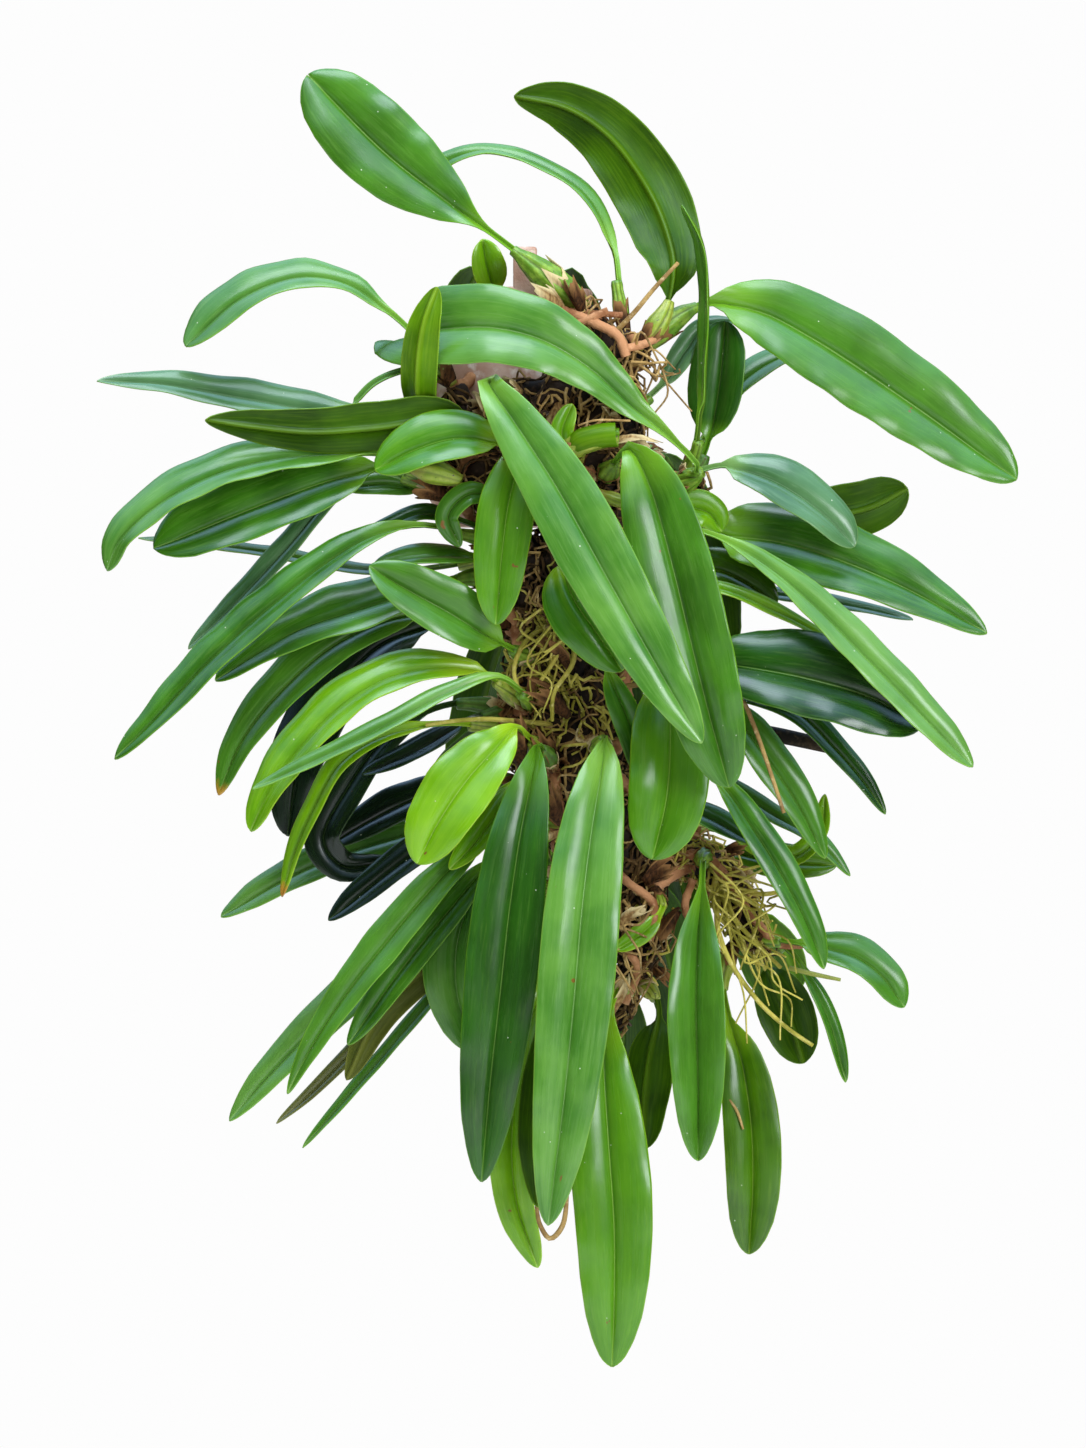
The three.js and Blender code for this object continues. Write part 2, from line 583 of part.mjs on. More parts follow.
      spine: [[34, -55, -154], [31, -68, -154], [27, -78, -161], [31, -84, -176], [43, -86, -194],
        [56, -84, -213]] },
  ],
  leaves_front_lower: [
    { width: 16, face: [-0.1, -1, 0.1], tone: 'mid',
      spine: [[52, -42, -206], [47, -58, -204], [50, -66, -216], [61, -66, -243],
        [68, -64, -270]] },
    { width: 42, face: [0.05, -1, 0.05], tone: 'light',
      spine: [[52, -42, -206], [70, -54, -204], [78, -64, -218], [80, -74, -247], [78, -78, -277],
        [71, -78, -307]] },
  ],
  young_shoots: [
    { width: 12, face: TO_VIEWER, tone: 'bright', bulb: 10, petiole: 4,
      spine: [[34, -62, -112], [29, -75, -105], [26, -79, -94], [31, -78, -80]] },
    { width: 9, face: TO_VIEWER, tone: 'bright', bulb: 40, bulbRadius: 6.5, petiole: 2, sunk: 20,
      spine: [[34, -62, -112], [32, -76, -101], [42, -81, -98], [51, -82, -98], [54, -82, -98]] },
  ],
  leaves_back_crown: [
    { width: 34, face: [0, 0.55, 0.85], tone: 'mid',
      spine: [[4, 6, -40], [-8, 26, -19], [-14, 37, -12], [-18, 48, -13], [-24, 70, -34],
        [-32, 90, -80], [-35, 98, -128]] },
    { width: 36, face: [0.2, 0.5, 0.85], tone: 'deep',
      spine: [[4, 6, -40], [18, 27, -18], [28, 40, -12], [30, 54, -20], [40, 76, -58],
        [49, 90, -108], [54, 96, -158]] },
  ],
  leaf_lower_small: [
    { width: 11, face: [0.3, -0.9, 0.4], tone: 'bright', bulb: 10, petiole: 4,
      spine: [[72, -26, -322], [76, -34, -332], [68, -38, -343], [53, -40, -353]] },
  ],
};

// The leaves behind, which lean away from the viewer and droop: each is its bearing in degrees
// about the root point, how far it reaches, how far its tip falls and how high it arches.
const BACK_LEAVES = {
  leaves_back_right: { root: [66, -34, -108], leaves: [
    { bearing: 74, reach: 110, fall: 62, arch: 12, width: 33, tone: 'mid' },
    { bearing: 58, reach: 84, fall: 96, arch: 8, width: 30, tone: 'deep' }] },
  leaves_back_upper: { root: [30, 4, -182], leaves: [
    { bearing: 118, reach: 120, fall: 104, arch: 24, width: 35, tone: 'mid' },
    { bearing: 78, reach: 124, fall: 96, arch: 30, width: 37, tone: 'deep' }] },
  leaves_back_middle: { root: [34, 12, -238], leaves: [
    { bearing: 52, reach: 98, fall: 112, arch: 14, width: 34, tone: 'mid' },
    { bearing: 142, reach: 104, fall: 62, arch: 14, width: 32, tone: 'deep' },
    { bearing: 98, reach: 126, fall: 128, arch: 18, width: 37, tone: 'light' }] },
  leaves_back_low: { root: [46, 17, -300], leaves: [
    { bearing: 136, reach: 82, fall: 86, arch: 6, width: 28, tone: 'mid' },
    { bearing: 62, reach: 100, fall: 122, arch: 8, width: 35, tone: 'deep' },
    { bearing: 108, reach: 98, fall: 150, arch: 8, width: 36, tone: 'mid' }] },
  leaf_back_lowest: { root: [63, 10, -346], leaves: [
    { bearing: 98, reach: 74, fall: 158, arch: 2, width: 36, tone: 'deep' }] },
  leaves_back_right_low: { root: [114, 0, -336], leaves: [
    { bearing: 78, reach: 84, fall: 44, arch: 8, width: 30, tone: 'mid' },
    { bearing: 48, reach: 48, fall: 38, arch: 6, width: 22, tone: 'light' }] },
};
const ARCH_STEPS = [0, 0.16, 0.36, 0.56, 0.78, 1];

function drooping([x, y, z], leaf) {
  const bearing = THREE.MathUtils.degToRad(leaf.bearing);
  const ahead = new THREE.Vector3(Math.cos(bearing), Math.sin(bearing), 0);
  return {
    ...leaf,
    face: [ahead.x * 0.6, ahead.y * 0.6, 0.8],
    spine: ARCH_STEPS.map((u) => [
      x + ahead.x * leaf.reach * u,
      y + ahead.y * leaf.reach * u,
      z + leaf.arch * 4 * u * (1 - u) - leaf.fall * u * u,
    ]),
  };
}

for (const [name, { root, leaves }] of Object.entries(BACK_LEAVES)) {
  LEAVES[name] = leaves.map((leaf) => drooping(root, leaf));
}

// The vase: a thin thrown pot with a drain hole, a ring of air holes, and two pierced lugs.
function buildVase(grow) {
  const outer = [
    [FOOT_RADIUS, FOOT_HEIGHT], [47, -116], [BELLY_RADIUS, -94], [BELLY_RADIUS - 1, -72],
    [48, -50], [NECK_RADIUS, -31], [RIM_RADIUS, RIM_HEIGHT - 5], [RIM_RADIUS, RIM_HEIGHT],
  ];
  const inner = [
    [RIM_RADIUS - WALL, RIM_HEIGHT], [NECK_RADIUS - WALL, -31], [48 - WALL, -50],
    [BELLY_RADIUS - 1 - WALL, -72], [BELLY_RADIUS - WALL, -94], [47 - WALL, -116],
    [FOOT_RADIUS - WALL, FOOT_HEIGHT + WALL],
  ];
  const hole = [[DRAIN_RADIUS, FOOT_HEIGHT + WALL], [DRAIN_RADIUS, FOOT_HEIGHT]];
  if (grow) {
    const filled = [[0, FOOT_HEIGHT - grow], ...outer.map(([r, z]) => [r + grow, z]),
      [0, RIM_HEIGHT + grow]];
    filled[1][1] -= grow;
    filled[filled.length - 2][1] += grow;
    return toSolid(spun(filled));
  }
  let vase = toSolid(spun([...outer, ...inner, ...hole, outer[0]]));
  for (const side of [-1, 1]) {
    vase = vase.add(toSolid(lugGeometry(side)));
  }
  for (let i = 0; i < AIR_HOLES; i += 1) {
    const hole = new THREE.CylinderGeometry(AIR_HOLE_RADIUS, AIR_HOLE_RADIUS, 30, 6);
    hole.translate(0, BELLY_RADIUS, 0);
    hole.rotateZ(((i + 0.24) / AIR_HOLES) * 2 * Math.PI);
    hole.translate(0, 0, BELLY_HEIGHT);
    vase = vase.subtract(toSolid(hole));
  }
  return vase;
}

function spun(profile) {
  const points = profile.map(([r, z]) => new THREE.Vector2(r, z));
  const geometry = new THREE.LatheGeometry(points, VASE_SIDES);
  geometry.rotateX(Math.PI / 2);
  return geometry;
}

function lugGeometry(side) {
  const half = LUG_WIDTH / 2;
  const foot = RIM_HEIGHT - 8;
  const shape = new THREE.Shape();
  shape.moveTo(-half, foot);
  shape.lineTo(half, foot);
  shape.lineTo(half, LUG_TOP - 8);
  shape.quadraticCurveTo(half, LUG_TOP, half - 8, LUG_TOP);
  shape.lineTo(-half + 8, LUG_TOP);
  shape.quadraticCurveTo(-half, LUG_TOP, -half, LUG_TOP - 8);
  for (const x of [-6, 6]) {
    const hole = new THREE.Path();
    hole.absarc(x, LUG_TOP - 14, CORD_HOLE_RADIUS, 0, 2 * Math.PI, true);
    shape.holes.push(hole);
  }
  const geometry = new THREE.ExtrudeGeometry(shape, {
    depth: LUG_THICKNESS, bevelEnabled: false, curveSegments: 3,
  });
  geometry.rotateX(Math.PI / 2);
  geometry.translate(LUG_OFFSET, side * (RIM_RADIUS - 2) + LUG_THICKNESS / 2, 0);
  return geometry;
}

// The bark and moss that fill the vase, domed a little above the rim's inner edge.
function buildFill() {
  const profile = [
    [0, FOOT_HEIGHT + WALL + 0.5], [FOOT_RADIUS - WALL - 1, FOOT_HEIGHT + WALL + 0.5],
    [47 - WALL - 1, -116], [BELLY_RADIUS - WALL - 1, -94], [BELLY_RADIUS - WALL - 2, -72],
    [48 - WALL - 1, -50], [NECK_RADIUS - WALL - 1, -31], [20, -26], [0, -25],
  ];
  return toSolid(spun(profile));
}

// The root mass: each branch is x, y, z and radius along a rambling, knobbly stem.
const BRANCHES = [
  [[40, -54, -30, 6], [44, -53, -44, 14], [48, -50, -66, 20], [48, -48, -95, 23], [42, -44, -125, 25], [36, -34, -158, 29],
    [30, -22, -192, 33], [28, -14, -226, 35], [32, -12, -258, 35], [44, -10, -288, 33],
    [58, -8, -318, 29], [66, -6, -346, 22], [60, -6, -372, 13], [52, -6, -399, 5]],
  [[44, -50, -104, 16], [16, -58, -108, 14], [-8, -60, -112, 12], [-24, -54, -118, 9],
    [-38, -42, -110, 5]],
  [[44, -54, -70, 12], [20, -64, -74, 9], [0, -66, -80, 8], [-8, -62, -98, 9],
    [-8, -60, -112, 10]],
  [[-24, -54, -118, 6], [-27, -58, -92, 6.5], [-26, -59, -70, 6]],
  [[-8, -60, -114, 12], [-3, -48, -138, 12], [4, -38, -156, 14], [16, -28, -184, 16]],
  [[46, -50, -50, 9], [60, -48, -52, 10], [68, -48, -56, 7]],
  [[52, -46, -112, 14], [70, -40, -120, 11], [84, -33, -120, 8], [93, -28, -116, 5]],
  [[58, -8, -312, 20], [80, -8, -306, 14], [98, -8, -308, 11], [112, -8, -324, 12],
    [120, -8, -342, 12], [130, -8, -354, 7]],
  [[56, -14, -232, 5], [100, -6, -240, 4.5], [134, -2, -245, 4.2], [166, 2, -252, 3.6]],
];

// The stem that leaves the vase over its rim, clear of the clay, and runs into the root mass.
const TRUNK = [
  [10, -8, -44, 5], [20, -20, -21, 4.6], [27, -31, -10, 4.4], [34, -44, -17, 5], [43, -54, -42, 8],
];

// Thin aerial roots and one dry flower stalk that hang from the stems.
const AERIAL_ROOTS = [
  [[22, -46, -188], [8, -58, -198], [2, -62, -212], [6, -62, -228]],
  [[26, -46, -190], [24, -60, -204], [14, -64, -220]],
  [[32, -44, -196], [31, -60, -210], [22, -63, -224], [21, -60, -238]],
  [[24, -36, -240], [14, -46, -239], [2, -54, -238], [-12, -58, -237], [-28, -58, -238],
    [-42, -54, -240]],
  [[108, -16, -320], [112, -32, -336], [124, -34, -350], [136, -30, -362]],
  [[106, -16, -322], [104, -32, -340], [110, -38, -358], [124, -38, -378], [152, -34, -401]],
  [[112, -16, -322], [128, -28, -325], [143, -28, -322]],
  [[50, -56, -46], [62, -64, -34], [72, -66, -22], [84, -64, -9]],
  [[36, -60, -38], [46, -66, -41], [56, -64, -46], [60, -58, -56]],
  [[44, -30, -224], [62, -44, -220], [94, -54, -222], [120, -60, -236], [136, -56, -283]],
];

function buildRootMass() {
  const random = seeded(7);
  const stems = BRANCHES.map((points) => {
    const steps = Math.round(points.length * 1.2);
    return toSolid(loft(stalk(points, 7, steps, 0.1, random)));
  });
  const roots = AERIAL_ROOTS.map((points) => {
    const tapered = points.map((point) => [...point, ROOT_RADIUS]);
    return toSolid(loft(stalk(tapered, 3, points.length)));
  });
  return joined([...stems, ...roots]);
}

// Every leaf stands in a plain hole with a little clearance all round it.
const leafSolids = new Map();
const trunk = toSolid(loft(stalk(TRUNK, 6, 8)));
let rootMass = buildRootMass().subtract(buildVase(CLEARANCE)).add(trunk);
let fill = buildFill().subtract(toSolid(loft(stalk(TRUNK, 6, 8, 0, null, 2 * CLEARANCE))));

for (const [name, leaves] of Object.entries(LEAVES)) {
  leafSolids.set(name, joined(leaves.map((leaf) => toSolid(loft(leafRings(leaf))))));
  const sockets = joined(leaves.map((leaf) => toSolid(loft(socketRings(leaf)))));
  rootMass = rootMass.subtract(sockets);
  fill = fill.subtract(sockets);
}

addNode('vase', toGeometry(buildVase(0)), COLOURS.clay, 0.85);
addNode('bark_fill', toGeometry(fill), COLOURS.bark, 0.95);
// Scraps that the holes cut loose are dropped.
const [whole] = rootMass.decompose().sort((a, b) => b.volume() - a.volume());

addNode('root_mass', toGeometry(whole), COLOURS.rhizome, 0.9);
for (const [name, solid] of leafSolids) {
  addNode(name, toGeometry(solid), COLOURS[LEAVES[name][0].tone], 0.4);
}

export default plant;
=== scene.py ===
# %% [markdown]
# # A rambling orchid in a hanging clay vase
# The real thing is a creeping bulbophyllum. Rhizomes as thick as a pencil ramble out of a small
# clay pot, and every few centimetres they bear a green pseudobulb with one leathery strap leaf.
# The plant is built from a few kinds of piece, each modelled once and repeated with its own
# course: blades, pseudobulbs, papery sheaths, roots and rhizomes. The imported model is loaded
# first and gives the frame, so that each finer piece sits where its solid is.

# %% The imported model
import math
import random

import bpy
import numpy as np
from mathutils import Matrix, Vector, noise
from mathutils.bvhtree import BVHTree


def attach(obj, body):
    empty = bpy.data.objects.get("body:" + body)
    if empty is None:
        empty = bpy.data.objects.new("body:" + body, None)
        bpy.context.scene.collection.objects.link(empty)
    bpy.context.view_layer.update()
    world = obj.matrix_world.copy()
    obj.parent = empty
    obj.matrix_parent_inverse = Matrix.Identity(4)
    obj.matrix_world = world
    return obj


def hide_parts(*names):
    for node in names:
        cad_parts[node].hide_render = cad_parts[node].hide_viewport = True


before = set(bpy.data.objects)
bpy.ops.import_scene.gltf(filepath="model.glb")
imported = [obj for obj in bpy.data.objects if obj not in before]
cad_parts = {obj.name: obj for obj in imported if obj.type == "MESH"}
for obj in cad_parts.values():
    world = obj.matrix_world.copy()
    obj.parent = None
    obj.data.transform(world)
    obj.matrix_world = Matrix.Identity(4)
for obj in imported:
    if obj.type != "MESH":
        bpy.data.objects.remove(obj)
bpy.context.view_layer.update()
MM = 0.001
print("nodes:", len(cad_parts))

# %% [markdown]
# ## Camera, floor and light
# The photo looks straight at the plant from the front, with no tilt. A long lens from six metres
# away keeps leaves near and far at nearly one scale, as in the photo. One pixel of the photo is
# half a millimetre at the middle of the plant, and that sets the lens.

# %% Camera
PHOTO_SIZE = (1086, 1448)
ORIGIN_PIXEL = (510, 245)
PIXEL = 0.5 * MM
CAMERA_DISTANCE = 6.0
MID_DEPTH = -0.06
SENSOR = 36.0

camera = bpy.data.objects.new("camera", bpy.data.cameras.new("camera"))
bpy.context.scene.collection.objects.link(camera)
camera.location = ((PHOTO_SIZE[0] / 2 - ORIGIN_PIXEL[0]) * PIXEL, MID_DEPTH - CAMERA_DISTANCE,
                   (ORIGIN_PIXEL[1] - PHOTO_SIZE[1] / 2) * PIXEL)
camera.rotation_euler = (math.radians(90), 0, 0)
camera.data.sensor_width = SENSOR
camera.data.lens = SENSOR * CAMERA_DISTANCE / (PHOTO_SIZE[1] * PIXEL)
camera.data.clip_end = 60
bpy.context.scene.camera = camera
print("lens mm:", round(camera.data.lens))

# %% [markdown]
# The backdrop is the pale world itself, which lights the plant softly from all round. The floor is
# far enough below that the level camera doesn't see it, and it bounces a little light upwards. The
# camera sees the world brighter than the plant does, so that the backdrop is as white as paper
# while the light stays soft. Glossy leaves mirror a dim room with a bright cool ceiling, because
# a white room all round would lay a grey haze over their green. A broad soft box above and a key
# lamp at the right give the long pale highlights that waxy leaves show. Two weaker lamps fill the
# front and the back, and aren't mirrored.

# %% Colours, nodes, world and lamps
def linear(hexcode):
    """An sRGB hex colour as Blender's linear red, green, blue, alpha."""
    parts = [int(hexcode[i:i + 2], 16) / 255 for i in (0, 2, 4)]
    return [*(p / 12.92 if p <= 0.04045 else ((p + 0.055) / 1.055) ** 2.4 for p in parts), 1.0]


def add(tree, kind, inputs=None, **settings):
    """A shader node with its settings; inputs maps a socket to a value or to another's output."""
    made = tree.nodes.new("ShaderNode" + kind)
    for name, value in settings.items():
        setattr(made, name, value)
    for socket, value in (inputs or {}).items():
        if isinstance(value, bpy.types.NodeSocket):
            tree.links.new(value, made.inputs[socket])
        else:
            made.inputs[socket].default_value = value
    return made


bpy.context.scene.view_settings.view_transform = "Standard"
world = bpy.data.worlds.new("pale studio")
bpy.context.scene.world = world
world.use_nodes = True
sky = world.node_tree
sky.nodes.clear()
seen = add(sky, "Background", {"Color": linear("fdfdfd"), "Strength": 1.0})
felt = add(sky, "Background", {"Color": linear("fbfcff"), "Strength": 0.46})
height = add(sky, "SeparateXYZ", {0: add(sky, "TexCoord").outputs["Generated"]}).outputs["Z"]
overhead = add(sky, "MapRange", {0: height, 1: 0.3, 2: 0.95, 3: 0.0, 4: 3.3},
               interpolation_type="SMOOTHSTEP")
mirrored = add(sky, "Background", {"Color": linear("acd4ff"), "Strength": overhead.outputs[0]})
path = add(sky, "LightPath")
unseen = add(sky, "MixShader", {0: path.outputs["Is Glossy Ray"], 1: felt.outputs[0],
                                2: mirrored.outputs[0]})
both = add(sky, "MixShader", {0: path.outputs["Is Camera Ray"], 1: unseen.outputs[0],
                              2: seen.outputs[0]})
add(sky, "OutputWorld", {"Surface": both.outputs[0]})


def soft_box(name, place, aim, size, power, colour, mirrored=True):
    """A square area lamp that looks at a point. One that isn't mirrored leaves no highlights."""
    lamp = bpy.data.objects.new(name, bpy.data.lights.new(name, "AREA"))
    bpy.context.scene.collection.objects.link(lamp)
    lamp.data.size = size
    lamp.data.energy = power
    lamp.data.color = linear(colour)[:3]
    lamp.location = place
    lamp.visible_glossy = mirrored
    lamp.rotation_euler = (Vector(aim) - Vector(place)).to_track_quat("-Z", "Y").to_euler()


middle = (0.02, -0.05, -0.24)
soft_box("overhead softbox", (-0.1, -0.8, 1.5), middle, 1.2, 34, "e6f2ff")
soft_box("right key", (1.5, -2.0, 0.5), middle, 0.9, 34, "f2f7ff")
soft_box("front fill", (0.7, -2.6, 0.5), middle, 1.6, 12, "fffaf2", False)
soft_box("back fill", (-0.5, 2.2, 0.7), middle, 1.8, 18, "f4f8ff", False)

bpy.ops.object.select_all(action="DESELECT")
bpy.ops.mesh.primitive_circle_add(vertices=96, radius=2.4, fill_type="NGON", location=(0, 0, -0.8))
floor = bpy.context.object
floor.name = "studio_floor"
painted_floor = bpy.data.materials.new("matt_white_paint")
painted_floor.use_nodes = True
painted_floor.node_tree.nodes["Principled BSDF"].inputs["Base Color"].default_value = linear("f4f4f2")
painted_floor.node_tree.nodes["Principled BSDF"].inputs["Roughness"].default_value = 0.9
floor.data.materials.append(painted_floor)

# %% [markdown]
# ## The courses that leaves and stems follow
# Every leaf, root and rhizome follows a smooth line through a few listed points. The line is
# a centripetal Catmull-Rom spline: it passes through each point and never loops between them. It
# is sampled at even steps of length, so that a blade's outline isn't stretched.

# %% Smooth courses
def smooth_course(points, steps=160):
    """Points evenly spaced along a centripetal Catmull-Rom spline, and how long it is."""
    known = [Vector(p) for p in points]
    known = [2 * known[0] - known[1], *known, 2 * known[-1] - known[-2]]
    dense = []
    for a, b, c, d in zip(known, known[1:], known[2:], known[3:]):
        gap = [max((q - p).length ** 0.5, 1e-4) for p, q in ((a, b), (b, c), (c, d))]
        leave = (b - a) / gap[0] - (c - a) / (gap[0] + gap[1]) + (c - b) / gap[1]
        reach = (c - b) / gap[1] - (d - b) / (gap[1] + gap[2]) + (d - c) / gap[2]
        leave, reach = leave * gap[1], reach * gap[1]
        for t in np.arange(0, 1, 1 / 24):
            dense.append(b + leave * t + (3 * (c - b) - 2 * leave - reach) * t ** 2
                         + (2 * (b - c) + leave + reach) * t ** 3)
    dense = np.array([*dense, known[-2]])
    along = np.concatenate([[0], np.cumsum(np.linalg.norm(np.diff(dense, axis=0), axis=1))])
    even = np.linspace(0, along[-1], steps)
    return np.stack([np.interp(even, along, dense[:, i]) for i in range(3)], axis=1), along[-1]


def ride_along(course, length, distances, face):
    """Centre, right and up at each distance along a course; up leans towards face."""
    even = np.linspace(0, length, len(course))
    heading = np.gradient(course, axis=0)
    centre, ahead = [np.stack([np.interp(distances, even, values[:, i]) for i in range(3)], axis=-1)
                     for values in (course, heading)]
    ahead /= np.linalg.norm(ahead, axis=-1, keepdims=True)
    right = np.cross(ahead, face)
    right /= np.linalg.norm(right, axis=-1, keepdims=True)
    return centre, right, np.cross(right, ahead)


def ease(low, high, values):
    """A smooth rise from 0 at low to 1 at high."""
    share = np.clip((values - low) / (high - low), 0, 1)
    return share * share * (3 - 2 * share)

# %% [markdown]
# ## Every leaf, by branch
# Lengths are millimetres. A leaf has its width, the way its upper side looks, its tone, and the
# points of its spine from the rhizome to the tip. What grows on one short branch shares a root
# point and stands for one imported node. bulb, girth and petiole are given where the pseudobulb is
# unlike the usual. fold is how steeply the halves rise from the midrib, wave how far the edges
# ripple, slender how slowly the blade widens from its petiole, belly how far out it is widest,
# blunt how round the tip is, notch how deep it is cleft and dry how far it has withered.
# The shade tone is painted shade: leaves that hang in shadow behind the others get near-black greens.

# %% The leaf table
TO_VIEWER = (0, -1, 0.15)
UP_LEFT = (-0.3, -0.62, 0.72)
UP_RIGHT = (0.25, -0.62, 0.74)
UP = (0, -0.45, 0.9)


def leaf(width, face, tone, spine, **looks):
    """One leaf's measures, with the usual values where none are given."""
    usual = dict(bulb=None, girth=None, petiole=None, fold=0.3, wave=0.02, slender=0.3, belly=1,
                 blunt=0.8, notch=0, dry=0)
    return dict(usual, width=width, face=face, tone=tone, spine=spine, **looks)


